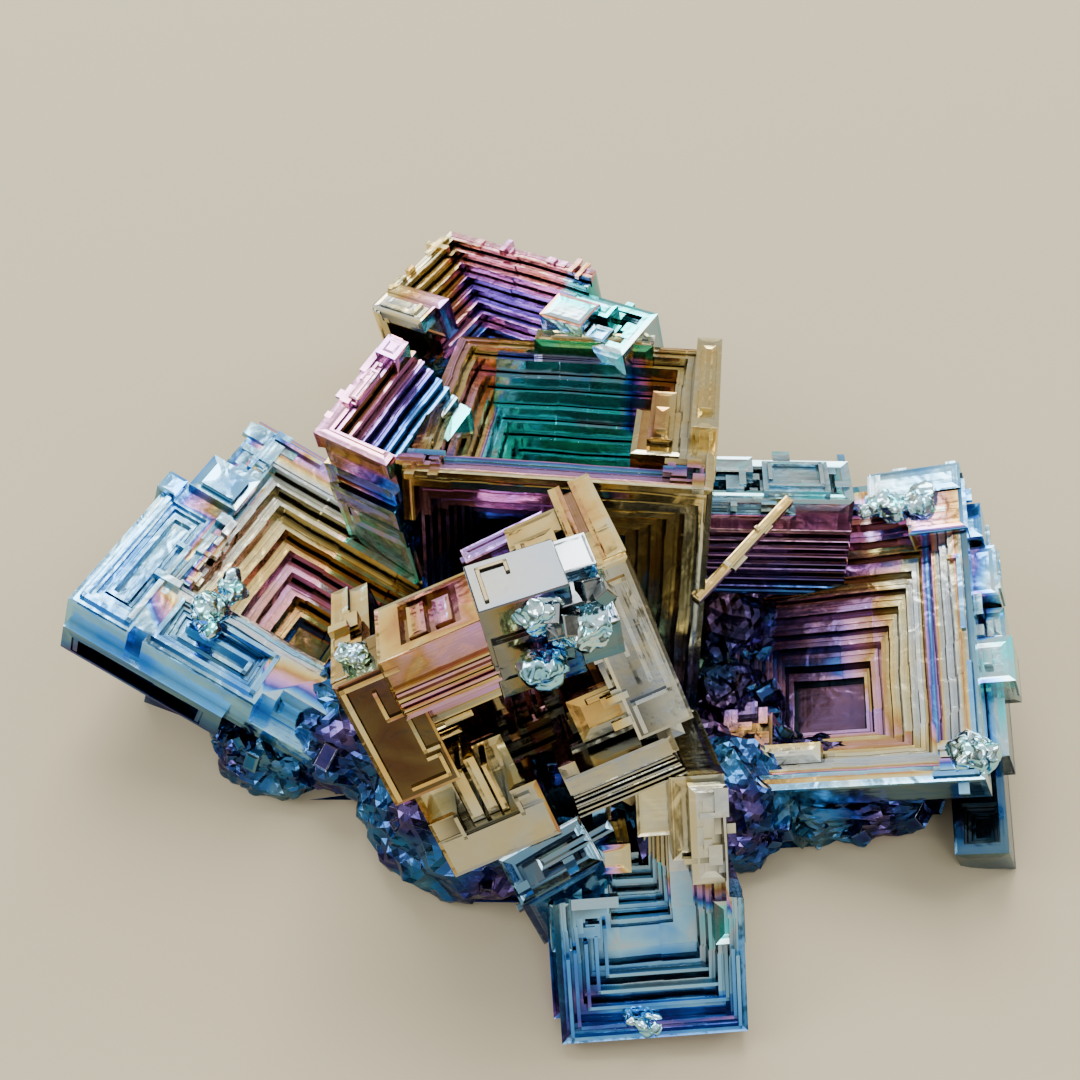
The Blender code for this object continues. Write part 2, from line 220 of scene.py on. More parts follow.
def sprinkle(ob, lo, hi, count, seed, size=(0.5, 1.6)):
    """Small blocks squared with the crystal, grown here and there in a zone of it."""
    rnd = random.Random(seed)
    bits = []
    thin = min(range(3), key=lambda i: hi[i] - lo[i])
    for _ in range(count):
        at = [rnd.uniform(a, b) for a, b in zip(lo, hi)]
        half = [rnd.uniform(*size) / 2 for _ in range(3)]
        half[(thin + rnd.choice((1, 2))) % 3] *= rnd.uniform(1.0, 3.0)
        half[thin] = rnd.uniform(0.15, 0.5)
        bits.append(block([a - h for a, h in zip(at, half)], [a + h for a, h in zip(at, half)]))
    return grown(ob, *bits)


def hook(ob, points, level, width=0.45, rise=0.3, axis=2):
    """A thin raised line of metal along a path of right angles on a flat face."""
    bars = []
    flat = [i for i in range(3) if i != axis]
    for (a0, b0), (a1, b1) in zip(points, points[1:]):
        lo, hi = [0.0] * 3, [0.0] * 3
        for i, (p, q) in zip(flat, ((a0, a1), (b0, b1))):
            lo[i], hi[i] = min(p, q) - width / 2, max(p, q) + width / 2
        lo[axis], hi[axis] = sorted((level - 0.3, level + rise))
        bars.append(block(lo, hi))
    return grown(ob, *bars)


def blend(stops, value):
    """Read a straight line between pairs of (place, number)."""
    if value <= stops[0][0]:
        return stops[0][1]
    for (x0, y0), (x1, y1) in zip(stops, stops[1:]):
        if value <= x1:
            return y0 + (y1 - y0) * (value - x0) / (x1 - x0)
    return stops[-1][1]


def openness(tree, start, normal, rays=5, reach=1.2, lean=1.3):
    """How much of the room a point sees past the ledges round it, from 0 to 1."""
    across = normal.orthogonal().normalized()
    other = normal.cross(across)
    seen = 0
    for i in range(rays):
        turn = math.tau * i / rays
        way = normal + lean * (across * math.cos(turn) + other * math.sin(turn))
        seen += tree.ray_cast(start, way.normalized(), reach * MM)[0] is None
    return seen / rays


def grow_film(ob, film, seed, jitter=0.05, gloom=lambda c, n: 1.0):
    """Write the thickness of the oxide at each corner, how dark it is painted (painted shade down in the
    grooves, times the crystal's own shade and tone), and a map that follows each face's longest edge.
    Film and light are read a part of the way from the middle of the face to the corner."""
    film_part, light_part = 0.6, 0.85
    rnd = random.Random(seed)
    mesh = bmesh.new()
    mesh.from_mesh(ob.data)
    tree = BVHTree.FromBMesh(mesh)
    thick = mesh.loops.layers.float.new("film")
    bright = mesh.loops.layers.float.new("bright")
    line = mesh.loops.layers.uv.new("growth")
    level_shift = {}
    for face in mesh.faces:
        centre, normal = face.calc_center_median(), face.normal
        side = max(range(3), key=lambda i: abs(normal[i]))
        key = (side, normal[side] > 0, round(centre[side] / MM / LEVEL))
        if key not in level_shift:
            level_shift[key] = (rnd.uniform(-jitter, jitter), rnd.uniform(0, 50))
        shift, lot = level_shift[key]
        shade_and_tone = gloom(centre / MM, normal)
        longest = max(face.edges, key=lambda e: e.calc_length())
        along = (longest.verts[1].co - longest.verts[0].co).normalized()
        along = max((Vector((1, 0, 0)), Vector((0, 1, 0)), Vector((0, 0, 1))),
                    key=lambda v: abs(v.dot(along)))
        across = normal.cross(along)
        for loop in face.loops:
            here = centre.lerp(loop.vert.co, film_part) / MM
            start = centre.lerp(loop.vert.co, light_part) + normal * 0.02 * MM
            loop[thick] = min(max(film(here, normal) + shift, 0.0), 1.0)
            # Painted shade: the colour is kept in full only where the face sees the room past the ledges
            # round it.
            light = GROOVE_LIGHT + (1 - GROOVE_LIGHT) * openness(tree, start, normal)
            loop[bright] = shade_and_tone * light
            loop[line].uv = (loop.vert.co.dot(along) / MM + lot, loop.vert.co.dot(across) / MM)
    mesh.to_mesh(ob.data)
    mesh.free()


def cut_at_ground(ob):
    """Take away what reaches below the ground and close the cut."""
    if min(v.co.z for v in ob.data.vertices) < 0:
        bpy.ops.object.mode_set(mode="EDIT")
        bpy.ops.mesh.select_all(action="SELECT")
        bpy.ops.mesh.bisect(plane_co=(0, 0, 0), plane_no=(0, 0, 1), use_fill=True, clear_inner=True)
        bpy.ops.object.mode_set(mode="OBJECT")


def stand(ob, name, at, turn, finish, edge=0.13):
    """Put a finished crystal in its place, cut it off at the ground and ease its edges."""
    alone(ob)
    ob.rotation_euler = [math.radians(a) for a in turn]
    ob.location = (Vector(at) + SETTLE) * MM
    bpy.ops.object.transform_apply(location=True, rotation=True, scale=True)
    cut_at_ground(ob)
    mod = ob.modifiers.new("edge", "BEVEL")
    mod.width, mod.segments, mod.limit_method, mod.angle_limit = edge * MM, 2, "ANGLE", 0.6
    mod.material = 1
    ob.data.materials.clear()
    ob.data.materials.append(finish)
    ob.data.materials.append(finish)
    bpy.ops.object.modifier_apply(modifier=mod.name)
    # The bevelled edge faces are marked as lip, for a painted highlight along the edges in the oxide
    # material.
    lip = ob.data.attributes.new("lip", "FLOAT", "FACE")
    lip.data.foreach_set("value", [float(face.material_index) for face in ob.data.polygons])
    ob.data.polygons.foreach_set("material_index", [0] * len(ob.data.polygons))
    ob.data.materials.pop(index=1)
    ob.name = ob.data.name = name
    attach(ob, "root")
    return ob


class Wire:
    """A socket that can be added, subtracted and multiplied."""

    def __init__(self, tree, socket):
        self.tree, self.socket = tree, socket

    def node(self, kind, settings=(), out=0, **sockets):
        node = self.tree.nodes.new(kind)
        for key, value in dict(settings).items():
            setattr(node, key, value)
        for key, value in sockets.items():
            key = int(key[1:]) if key[1:].isdigit() else key.replace("_", " ")
            if isinstance(value, Wire):
                self.tree.links.new(value.socket, node.inputs[key])
            else:
                node.inputs[key].default_value = value
        return Wire(self.tree, node.outputs[out])

    def maths(self, operation, other):
        return self.node("ShaderNodeMath", {"operation": operation}, i0=self, i1=other)

    def __add__(self, other):
        return self.maths("ADD", other)

    def __sub__(self, other):
        return self.maths("SUBTRACT", other)

    def __mul__(self, other):
        return self.maths("MULTIPLY", other)

    def __rsub__(self, other):
        return self.node("ShaderNodeMath", {"operation": "SUBTRACT"}, i0=other, i1=self)

    def ramp(self, stops):
        ramp = self.node("ShaderNodeValToRGB", Fac=self)
        bar = ramp.socket.node.color_ramp
        while len(bar.elements) < len(stops):
            bar.elements.new(0.5)
        for element, (place, colour) in zip(bar.elements, stops):
            element.position, element.color = place, (*colour, 1.0)
        return ramp


SPECTRUM = (
    (0.00, (0.66, 0.74, 0.78)), (0.06, (0.80, 0.79, 0.62)), (0.12, (0.86, 0.74, 0.38)),
    (0.18, (0.84, 0.60, 0.20)), (0.25, (0.60, 0.31, 0.10)), (0.33, (0.86, 0.44, 0.44)),
    (0.41, (0.86, 0.42, 0.74)), (0.49, (0.50, 0.30, 0.78)), (0.57, (0.08, 0.10, 0.46)),
    (0.65, (0.09, 0.42, 0.98)), (0.73, (0.36, 0.76, 0.98)), (0.77, (0.58, 0.72, 0.76)),
    (0.82, (0.08, 0.92, 0.98)), (0.90, (0.04, 0.76, 0.52)), (1.00, (0.45, 0.98, 0.70)),
)


def oxide(name, rough=0.2, drift=0.1, relief=0.5, shade=1.0, pools=0.2):
    """Bismuth under its film of oxide: the film's thickness sets the colour, with a painted highlight on
    the bevelled edges and painted shade where 'bright' is low.
    """
    finish = bpy.data.materials.new(name)
    finish.use_nodes = True
    tree = finish.node_tree
    shader = tree.nodes["Principled BSDF"]
    start = Wire(tree, None)
    place = start.node("ShaderNodeTexCoord", out="Object")
    line = start.node("ShaderNodeUVMap", {"uv_map": "growth"})
    film = start.node("ShaderNodeAttribute", {"attribute_name": "film"}, out="Fac")
    lines = line.node("ShaderNodeMapping", Vector=line, Scale=(0.03, 1.7, 1.0))
    streak = lines.node("ShaderNodeTexNoise", Vector=lines, Scale=1.0, Detail=2.0, Distortion=0.3)
    broad = line.node("ShaderNodeMapping", Vector=line, Scale=(0.04, 0.5, 1.0))
    band = broad.node("ShaderNodeTexNoise", Vector=broad, Scale=1.0, Detail=1.0, Distortion=0.2)
    pool = place.node("ShaderNodeTexNoise", Vector=place, Scale=130.0, Detail=2.0, Distortion=1.0)
    melt = place.node("ShaderNodeTexNoise", Vector=place, Scale=420.0, Detail=1.5, Distortion=0.8)
    grit = place.node("ShaderNodeTexNoise", Vector=place, Scale=2600.0, Detail=2.0)
    phase = film + (streak - 0.5) * (drift * 0.45) + (band - 0.5) * drift + (pool - 0.5) * pools
    tint = phase.ramp([(stop, [part * shade for part in colour]) for stop, colour in SPECTRUM])
    # Painted highlight: the bevelled edge faces (lip) are mixed halfway towards a pale metal colour.
    lip = start.node("ShaderNodeAttribute", {"attribute_name": "lip"}, out="Fac")
    painted_edge_highlight = (0.86 * shade, 0.84 * shade, 0.76 * shade, 1.0)
    bright = start.node("ShaderNodeAttribute", {"attribute_name": "bright"}, out="Fac")
    tint = tint.node("ShaderNodeMix", {"data_type": "RGBA"}, out=2, i0=lip * 0.5, i6=tint, i7=painted_edge_highlight)
    # Painted shade: where 'bright' is low the colour goes towards near black, in the grooves and where
    # each crystal is darkened.
    dark = (0.012, 0.010, 0.016, 1.0)
    tint = tint.node("ShaderNodeMix", {"data_type": "RGBA"}, out=2, i0=bright, i6=dark, i7=tint)
    tree.links.new(tint.socket, shader.inputs["Base Color"])
    spread = 0.12
    wear = grit * spread + pool * spread + (rough - spread)
    tree.links.new(wear.socket, shader.inputs["Roughness"])
    height = melt + streak * 0.25 + grit * 0.04
    bump = height.node("ShaderNodeBump", Strength=relief, Distance=0.00016, Height=height)
    tree.links.new(bump.socket, shader.inputs["Normal"])
    shader.inputs["Metallic"].default_value = 1.0
    return finish


def tower_film(c, n):
    """The film's thickness, from 0 to 1, at place c (mm, in the crystal's own axes) on a side that
    faces n. Each crystal has such a function."""
    depth = -c.z
    if c.y < 8.8 and c.z < -2.0 and (n.y < -0.5 or c.y > 0.2) and -30 < c.x < -1.2:
        if c.x < -13:
            return blend(((0.0, 0.15), (1.5, 0.38), (3.0, 0.47), (5.0, 0.58), (8.5, 0.62)), c.y)
        return blend(((0, 0.04), (2, 0.14), (4, 0.22), (6, 0.15), (9, 0.3)), c.y)
    if depth < 0.9 and n.z > 0.5:
        if c.y < 9:
            return blend(((0.4, 0.1), (0.9, 0.41), (2.2, 0.46), (3.2, 0.71), (3.9, 0.43), (4.4, 0.14),
                          (7.5, 0.13)), c.y)
        if c.x > -8:
            return blend(((-8, 0.33), (-4, 0.14), (0, 0.11)), c.x)
        return blend(((-31, 0.4), (-28, 0.3), (-25, 0.15)), c.x)
    if depth < 1.0:
        return 0.13
    if c.x > -1.5:
        return blend(((-12, 0.02), (-3, 0.14)), c.z)
    if c.x < -25.5:
        return blend(((1, 0.12), (3, 0.33), (5, 0.15), (7, 0.2), (10, 0.4)), depth)
    if c.x > -8.4 and depth < 9:
        return blend(((0.4, 0.12), (2, 0.16), (4, 0.36), (6, 0.14), (9, 0.42)), depth)
    return blend(((1, 0.70), (2.6, 0.73), (4.2, 0.80), (7, 0.82), (9, 0.84), (12, 0.83), (14, 1.0)),
                 depth)


def tower_painted_light(c, n):
    """Painted light: how much of its colour the film keeps there. Darker in the front pit and on the
    sides of the top pit's steps, lighter on the treads of the top pit.
    """
    if c.y < 4.8 and n.z < 0.8 and c.z < -2:
        return 0.4 if c.x < -13 and c.y > 3 else 0.75
    if c.z < -0.6 and c.x < -3 and 4 < c.y < 31:
        return 0.6 if n.z < 0.5 else 1.9
    return 1.0


w, l, h = 30.8, 33.2, 36.0
tower = slab((-w, 0, -h), (0, l, 0), 2, 2, 0.5, 0.1)
rim = [[-w + 0.7, -0.7, 0.8, l - 0.7, -0.02], [-w + 1.1, -2.6, 2.6, l - 1.6, -0.25]]
top_rings = terraces((-w + 2.0, -4.2, 4.8, l - 2.9), (-19.5, -11.0, 17.0, 21.5), -1.2, -15.0, 10, 3)
without(tower, pit(rim + top_rings, 7, "xyz", 3))
front_rings = terraces((-w + 1.6, -1.6, -h + 5, -2.4), (-w + 9, -9.5, -h + 14, -11.0), 1.4, 8.4, 6, 5)
without(tower, pit([[-w + 0.6, -0.5, -h + 2, -0.7, 0.15]] + front_rings, -3, "xzy", 5))
notch(tower, (-w - 4, -2, -19), (-24.4, 6.5, -5.8))
notch(tower, (-w - 4, -2, -17), (-20.6, 9.5, -8.4))
without(tower, pit(terraces((2.2, l - 2.2, -h + 8, -2.6), (11, l - 11, -h + 15, -12), -1.1, -6.8, 6, 7),
                   4, "yzx", 7))
without(tower, pit(terraces((-w + 2, -2, -h + 8, -2.4), (-w + 10, -10, -h + 14, -11), l - 1.2, l - 6.6,
                            6, 9), l + 4, "xzy", 9))
grown(tower, *slabs(
    ((-2.6, 10.5, -5), (0.25, l + 0.25, 1.4), 11),
    ((-2.0, 14, 0.6), (-0.4, l - 3, 1.9), 12),
    ((-21.5, l - 2.6, -5), (-7.6, l + 0.4, 1.3), 13),
    ((-19.6, l - 2.0, 0.6), (-9.0, l - 0.5, 1.6), 14),
    ((-8.6, 8.2, -9), (-3.2, 18.5, -0.9), 15),
    ((-7.0, 9.2, -9), (-4.4, 20.5, 0.4), 16),
    ((-6.4, 10.4, -2), (-5.0, 15.5, 1.0), 17)))
rnd = random.Random(20)
for i in range(17):
    z = -5.4 - 1.05 * i
    grown(tower, block((-27.0, 7.6 - 0.06 * i, z), (-11.0, 8.6, z + rnd.uniform(0.3, 0.6))))
for i in range(9):
    x = -23.6 - 0.75 * i
    grown(tower, block((x, 6.6 - 0.5 * i, -24), (x + rnd.uniform(0.25, 0.4), 8.6, -4.6 + 0.3 * i)))
hook(tower, ((-4.0, 1.2), (-1.2, 1.2), (-1.2, 4.2), (-3.2, 4.2)), 0.0)
hook(tower, ((-29.6, 6.4), (-29.6, 1.4), (-27.4, 1.4), (-27.4, 3.6)), 0.0)
sprinkle(tower, (-5, 0.4, -0.1), (-0.6, 5, 0.3), 9, 18, (0.6, 1.6))
sprinkle(tower, (-30.6, 0.2, -0.1), (-26.6, 3.4, 0.4), 10, 19, (0.5, 1.5))
grow_film(tower, tower_film, 1, 0.035, tower_painted_light)
tower_oxide = oxide("tower_oxide", 0.17, 0.09)
stand(tower, "tower_crystal", (17.1, -5.4, 28.9), (-18, -2, -7), tower_oxide)
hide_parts("bismuth_cluster")


# Wing: a thin crystal grown into the tower's left side. Its ledges go down towards the tower, and
# its front is hollow; the film is pink and lilac on the rim and turns to violet, blue and cyan.
def wing_film(c, n):
    if c.z > -0.6:
        return 0.4
    if c.y < 3 and n.y < -0.5:
        return blend(((-12, 0.78), (-5, 0.62), (-2.6, 0.2), (0, 0.4)), c.z)
    return blend(((0.5, 0.38), (2.2, 0.22), (3.4, 0.5), (5.2, 0.62), (7.2, 0.76), (9, 0.8)), c.x)


# Painted shade: the faces below the top that do not face up are darker.
def wing_painted_shade(c, n):
    return 0.55 if n.z < 0.5 and c.x > 0.6 and c.z < -0.5 else 1.0


w, l, h = 9.0, 14.5, 30.0
wing = slab((0, 0, -h), (w, l, 0), 61, 3, 0.4, 0.12)
without(wing, pit(terraces((1.5, w + 2, 1.3, l + 2), (7.8, w + 1, 4.0, l + 1), -0.5, -7.6, 8, 61, 0.1),
                  4, "xyz", 61))
notch(wing, (-1, -1, -5.4), (w + 1, 0.8, -2.6))
notch(wing, (1.0, -1, -15), (w + 1, 2.4, -7.2))
notch(wing, (2.6, -1, -14), (w + 1, 5.5, -8.6))
without(wing, pit(terraces((2.5, l - 2, -14, -2.2), (7, l - 7, -10, -6), 0.8, 3.2, 4, 4), -3, "yzx", 62))
grown(wing, *slabs(
    ((0.3, 11.2, -1.5), (2.8, 13.8, 0.9), 63),
    ((0.9, 5.2, -1), (2.0, 9.4, 0.5), 64),
    ((0.3, -0.5, -11.6), (8.8, 0.9, -8.2), 65),
    ((2.0, -0.3, -15.4), (9.0, 1.2, -12.2), 66)))
sprinkle(wing, (0.2, 0.2, -0.3), (1.2, 13.5, 0.2), 10, 67, (0.4, 1.2))
sprinkle(wing, (2.8, 5.3, -13.6), (8.5, 5.8, -9), 12, 68, (0.8, 1.8))
grow_film(wing, wing_film, 61, 0.05, wing_painted_shade)
stand(wing, "wing_crystal", (-22.8, 3.5, 27.9), (8.9, 0.5, -30.6), oxide("wing_oxide", 0.18, 0.1))


# Back crystal: a corner of steps that rises to the left and the back, yellow on the left and
# lilac at the back, with teal plates on its right where the film is thickest.
def back_film(c, n):
    if c.x > -3.4:
        return blend(((-9, 0.74), (-5, 0.82), (-1, 0.78)), c.y) if c.z < -0.9 else 0.3
    if c.y < -14.0:
        return 0.07 if c.z > -1.4 else 0.2
    left, behind = c.x + 22.6, -c.y
    if left < behind:
        return blend(((0, 0.14), (3.5, 0.2), (5.5, 0.34), (8, 0.42), (12, 0.52)), left)
    return blend(((0, 0.42), (1.6, 0.3), (3, 0.46), (5, 0.56), (6.5, 0.44), (8, 0.7), (12, 0.8)), behind)


# Painted shade: the faces below the top that do not face up are darker.
def back_painted_shade(c, n):
    return 0.6 if n.z < 0.5 and -w + 1 < c.x and c.z < -0.6 else 1.0


w, l, h = 22.6, 16.4, 30.0
back = slab((-w, -l, -h), (0, 0, 0), 11, 2, 0.5, 0.1)
without(back, pit([[-w + 0.7, 1.8, -l - 1.8, -0.6, -0.2]]
                  + terraces((-w + 1.7, 1.4, -l - 1.2, -1.5), (-w + 9.5, 1.0, -l - 1.0, -7.6),
                             -1.0, -8.5, 8, 11), 4, "xyz", 11))
notch(back, (-w + 1.8, -l - 1, -12), (-w + 7.6, -l + 3.0, -1.6))
without(back, pit(terraces((-w + 1.8, -1.8, -h + 14, -2.2), (-w + 8, -8, -h + 20, -8),
                           -1.1, -5.6, 6, 13), 4, "xzy", 13))
without(back, pit(terraces((-l + 5.4, -1.6, -h + 14, -3.6), (-l + 8, -6, -h + 19, -9), -w + 1.2,
                           -w + 4.4, 4, 14), -w - 4, "yzx", 14))
ledge = slab((-1, -9.4, -30), (9.4, -1.6, -2.6), 15)
without(ledge, pit(terraces((2.2, 8.2, -8.0, -2.8), (4.2, 6.4, -6.2, -4.6), -3.6, -6.4, 4, 2),
                   1, "xyz", 16))
grown(back, ledge, *slabs(
    ((-2.6, -8.6, -9), (3.4, -4.4, -0.8), 17),
    ((-w, -l + 3.0, -4.6), (-w + 8.6, -l + 5, 0.3), 18),
    ((-w, -l + 0.2, -1.6), (-w + 7.9, -l + 3.2, 0.3), 19),
    ((-1.0, -5.6, -4), (5.0, -3.2, -1.4), 20),
    ((3.6, -8.8, -6), (6.4, -6.4, -2.1), 21)))
sprinkle(back, (-2, -9, -3.4), (9, -2, -2.4), 12, 22, (0.6, 1.7))
sprinkle(back, (-w + 0.4, -0.8, -0.2), (-1, -0.2, 0.2), 10, 23, (0.5, 1.4))
sprinkle(back, (-w - 0.1, -l + 1, -0.2), (-w + 0.6, -1, 0.2), 8, 24, (0.5, 1.4))
hook(back, ((-w + 1.2, -l + 1.0), (-w + 6.2, -l + 1.0), (-w + 6.2, -l + 2.4)), 0.3)
grow_film(back, back_film, 11, 0.05, back_painted_shade)
stand(back, "back_crystal", (7.0, 36.3, 22.1), (5.0, -10.5, -35.4), oxide("back_oxide", 0.18, 0.1))


# Left crystal: a tilted square pit with a broken double rim. The outside is pale, silver and blue,
# and the steps go through straw yellow, gold, pink and a teal line to brown at the bottom.
def left_film(c, n):
    stepped = 11 < c.x < 31 and 10 < c.y < 26 and c.z > -10.3
    if c.z < -5.2 and not stepped or c.y > 32.3:
        return blend(((-34, 0.6), (-14, 0.66), (-8, 0.58), (-5, 0.62)), c.z)
    if c.x < 8 or c.y < 8.7:
        near = min(c.x, c.y)
        return blend(((-0.4, 0.72), (1.6, 0.66), (3.4, 0.74), (5.5, 0.70), (7.6, 0.77)), near)
    return blend(((0.2, 0.0), (1.2, 0.05), (2.6, 0.12), (4.6, 0.16), (5.6, 0.31), (7.0, 0.38),
                  (7.6, 0.34), (8.4, 0.17), (10, 0.23)), -c.z)


# Painted shade: the lower outside and the parts below are much darker, the sides of the pit's steps a
# little darker.
def left_painted_shade(c, n):
    if c.z < -4.6 and (c.x < 10 or c.y < 9) or c.z < -10.4:
        return 0.35
    return 0.55 if n.z < 0.5 and c.z < -1.3 and c.y > 8.7 else 1.0


w, l, h = 29.0, 32.5, 5.0
left = slab((0, 0, -h), (w, l, 0), 31, 1, 0.5, 0.1)
for lo, hi in (((-2, 19.9, -9), (1.9, 25.0, 2)), ((-2.2, 24.6, -9.2), (3.1, l + 1, 2.2)),
               ((6.9, -2, -3.4), (8.6, 1.2, 1)), ((21.4, -2.2, -3.3), (w + 1, 1.9, 1.2)),
               ((23.0, -2, -3.2), (w + 1.4, 3.4, 1.4))):
    notch(left, lo, hi)
fused(left, block((9, 3.2, -34), (w + 6, l - 4, -h + 0.4)))
under = block((0.4, -0.9, -7.6), (w - 10, 20, -h + 1.4))
without(under, pit(terraces((1.6, w - 12, -7.2, -h + 0.4), (5, w - 16, -6.5, -h - 0.4),
                            -0.7, 2.6, 4, 22), -4, "xzy", 25))
fused(left, under)
without(left, pit([[7.0, w + 2, 7.6, l - 4.0, -0.25]]
                  + terraces((8.0, w + 1.6, 8.7, l - 5.0), (19.5, 23.0, 14.4, 17.4), -1.2, -10.0, 8, 21),
                  4, "xyz", 21))
without(left, pit(terraces((12, w + 3, -19, -h - 1.2), (17, w - 2, -15, -9), l - 5.2, l - 9, 6, 25),
                  l + 2, "xzy", 26))
without(left, pit(terraces((6, l - 7, -15, -h - 1.0), (11, l - 12, -12, -8), 10.2, 14.4, 5, 26),
                  5, "yzx", 27))
for rings in (terraces((1.6, 5.8, 2.2, 16.8), (3.2, 4.6, 4.0, 15.0), -0.4, -1.1, 3, 23),
              terraces((9.0, w - 9.0, 1.5, 6.9), (10.6, w - 10.2, 3.2, 5.6), -0.3, -1.1, 4, 24)):
    without(left, pit(rings, 4, "xyz", 24))
grown(left, *slabs(
    ((-0.7, 17.0, -4), (1.5, 19.6, 0.6), 34),
    ((1.8, 19.4, -4), (7.6, 24.6, 0.5), 35),
    ((w - 6.0, 3.4, -6), (w + 1.4, 9.4, -1.6), 36),
    ((2.8, 20.2, 0.3), (6.8, 23.6, 0.9), 37),
    ((w - 9.6, 4.6, -3), (w - 4.6, 8.4, -0.5), 38)))
hook(left, ((1.0, 16.4), (1.0, 1.2), (6.2, 1.2), (6.2, 12.2), (5.2, 12.2)), 0.0, 0.55, 0.35)
hook(left, ((2.6, 14.4), (2.6, 3.4), (4.6, 3.4), (4.6, 9.4)), -0.8, 0.5, 0.5)
hook(left, ((9.2, 6.4), (9.2, 1.2), (20.6, 1.2), (20.6, 6.2), (12.0, 6.2)), 0.0, 0.5, 0.3)
hook(left, ((11.2, 4.6), (18.6, 4.6), (18.6, 3.0), (11.2, 3.0)), -0.8, 0.45, 0.5)
hook(left, ((5.6, 26.0), (5.6, 31.4), (11.6, 31.4)), 0.0, 0.5, 0.3)
sprinkle(left, (3.8, 24.6, -0.6), (6.8, 31.5, -0.1), 12, 39, (0.6, 2.0))
sprinkle(left, (6.6, 6.6, -0.9), (8.6, 18.0, 0.2), 22, 40, (0.5, 1.6))
sprinkle(left, (10, 2.8, -12), (26, 3.6, -6), 18, 41, (0.8, 2.6))
grow_film(left, left_film, 31, 0.03, left_painted_shade)
stand(left, "left_crystal", (-46.9, -11.0, 19.0), (-5.4, 18.8, -24.0), oxide("left_oxide", 0.16, 0.07))


# Right crystal: a broad deep square pit, open on the tower's side. Its left and top are magenta and
# purple, its right and lower steps silver, straw and gold, with small plates down its right side.
def right_film(c, n):
    if c.x > -1.2 or c.z < -9.6:
        return blend(((-34, 0.6), (-16, 0.62), (-10, 0.75), (-7, 0.77), (-4, 0.75), (0, 0.72)), c.z)
    low, far, side = c.y - 2.2, 30.8 - c.y, -2.4 - c.x
    if low < min(far, side):
        return blend(((-1.8, 0.7), (-0.6, 0.74), (0.4, 0.02), (1.4, 0.0), (2.6, 0.1), (4.2, 0.3),
                      (5.6, 0.18), (6.6, 0.44), (8, 0.5)), low)
    if side < far:
        return blend(((-1.8, 0.74), (-0.6, 0.05), (1.0, 0.0), (2.2, 0.74), (3.4, 0.02), (4.8, 0.12),
                      (6.0, 0.06), (7.4, 0.2), (8.6, 0.4), (10.0, 0.18), (11.4, 0.48), (13, 0.6)), side)
    return blend(((-2.6, 0.73), (-1.0, 0.76), (0.4, 0.26), (2.0, 0.4), (3.4, 0.16), (5.0, 0.42),
                  (6.4, 0.2), (8.6, 0.46), (12, 0.53), (15, 0.62)), far)


# Painted shade: the parts below are much darker, the sides of the pit's steps darker.
def right_painted_shade(c, n):
    if c.z < -8.8:
        return 0.22
    return 0.5 if n.z < 0.5 and c.z < -0.6 and -w < c.x < -1.4 else 1.0


w, l, h = 26.5, 34.0, 5.0
right = slab((-w, 0, -h), (0, l, 0), 41, 1, 0.5, 0.1)
notch(right, (-w - 1, 29.5, -6), (-19.2, l + 1, 2))
notch(right, (-w - 1.2, 26.0, -6.2), (-22.4, l + 1.2, 2.2))
fused(right, block((-w + 1.2, 3.4, -13.5), (-2.5, l - 3, -h + 0.6)))
without(right, pit([[-w - 3.6, -1.4, 1.2, l - 2.2, -0.3]]
                   + terraces((-w - 3, -2.4, 2.2, l - 3.2), (-20.0, -13.0, 9.6, 14.6),
                              -1.1, -9.4, 11, 31), 4, "xyz", 31))
without(right, pit(terraces((4, l - 4, -12, -h), (10, l - 10, -10, -7), -3.2, -5.0, 4, 35),
                   4, "yzx", 35))
without(right, pit(terraces((-w + 4, -5, -12, -h), (-w + 9, -9, -10.4, -7), l - 3.6, l - 6.0, 4, 36),
                   l + 4, "xzy", 36))
toe = slab((-4.4, -4.3, -15), (0.8, 7.0, -9.4), 43)
without(toe, pit(terraces((-3.5, -0.1, -3.4, 0.8), (-2.4, -1.2, -2.3, -0.2), -9.8, -11.4, 4, 33),
                 -6, "xyz", 33))
grown(right, toe, *slabs(
    ((-w + 0.2, 4.0, -9), (-w + 5.4, 9.4, -2.4), 44),
    ((-9.6, l - 2.2, -3), (-0.2, l + 0.9, 0.7), 45),
    ((-5.8, l - 7.0, -3), (0.2, l - 1.0, 0.5), 46),
    ((-2.8, 20.6, -8), (2.4, 26.4, -2.8), 47),
    ((-2.4, 11.6, -10), (3.2, 16.6, -4.2), 48),
    ((-3.0, 4.6, -12), (1.8, 12.6, -6.4), 49),
    ((-4.0, 16.8, -9), (2.6, 20.4, -5.4), 50),
    ((-1.6, 27.0, -6), (1.4, 31.0, -1.6), 51),
    ((-24.0, 3.4, -3.2), (-16.0, 5.6, -1.9), 52),
    ((-w + 0.6, 9.2, -8.4), (-w + 3.4, 12, -4), 54)))
hook(right, ((-4.6, 0.7), (-0.7, 0.7), (-0.7, 12.0)), 0.0, 0.45, 0.25)
hook(right, ((-1.0, 16.0), (-1.0, 24.0), (-2.0, 24.0)), 0.0, 0.45, 0.25)
sprinkle(right, (-9.6, l - 4.6, -0.6), (-0.4, l + 0.4, 0.3), 26, 55, (0.5, 1.8))
sprinkle(right, (-1.4, 12.0, -7), (2.6, 30.0, -2.6), 20, 56, (0.6, 1.8))
sprinkle(right, (-3.6, -0.4, -1.0), (-0.2, 4.6, 0.1), 10, 57, (0.5, 1.3))
sprinkle(right, (-w + 0.8, 4.4, -2.9), (-w + 5, 9.0, -2.3), 12, 58, (0.8, 1.7))
sprinkle(right, (-24, 2.9, -12.6), (-4, 3.7, -6), 22, 59, (0.8, 2.8))
grow_film(right, right_film, 41, 0.04, right_painted_shade)
stand(right, "right_crystal", (42.3, -28.9, 14.4), (11.9, -21.3, -9.1), oxide("right_oxide", 0.16, 0.08))


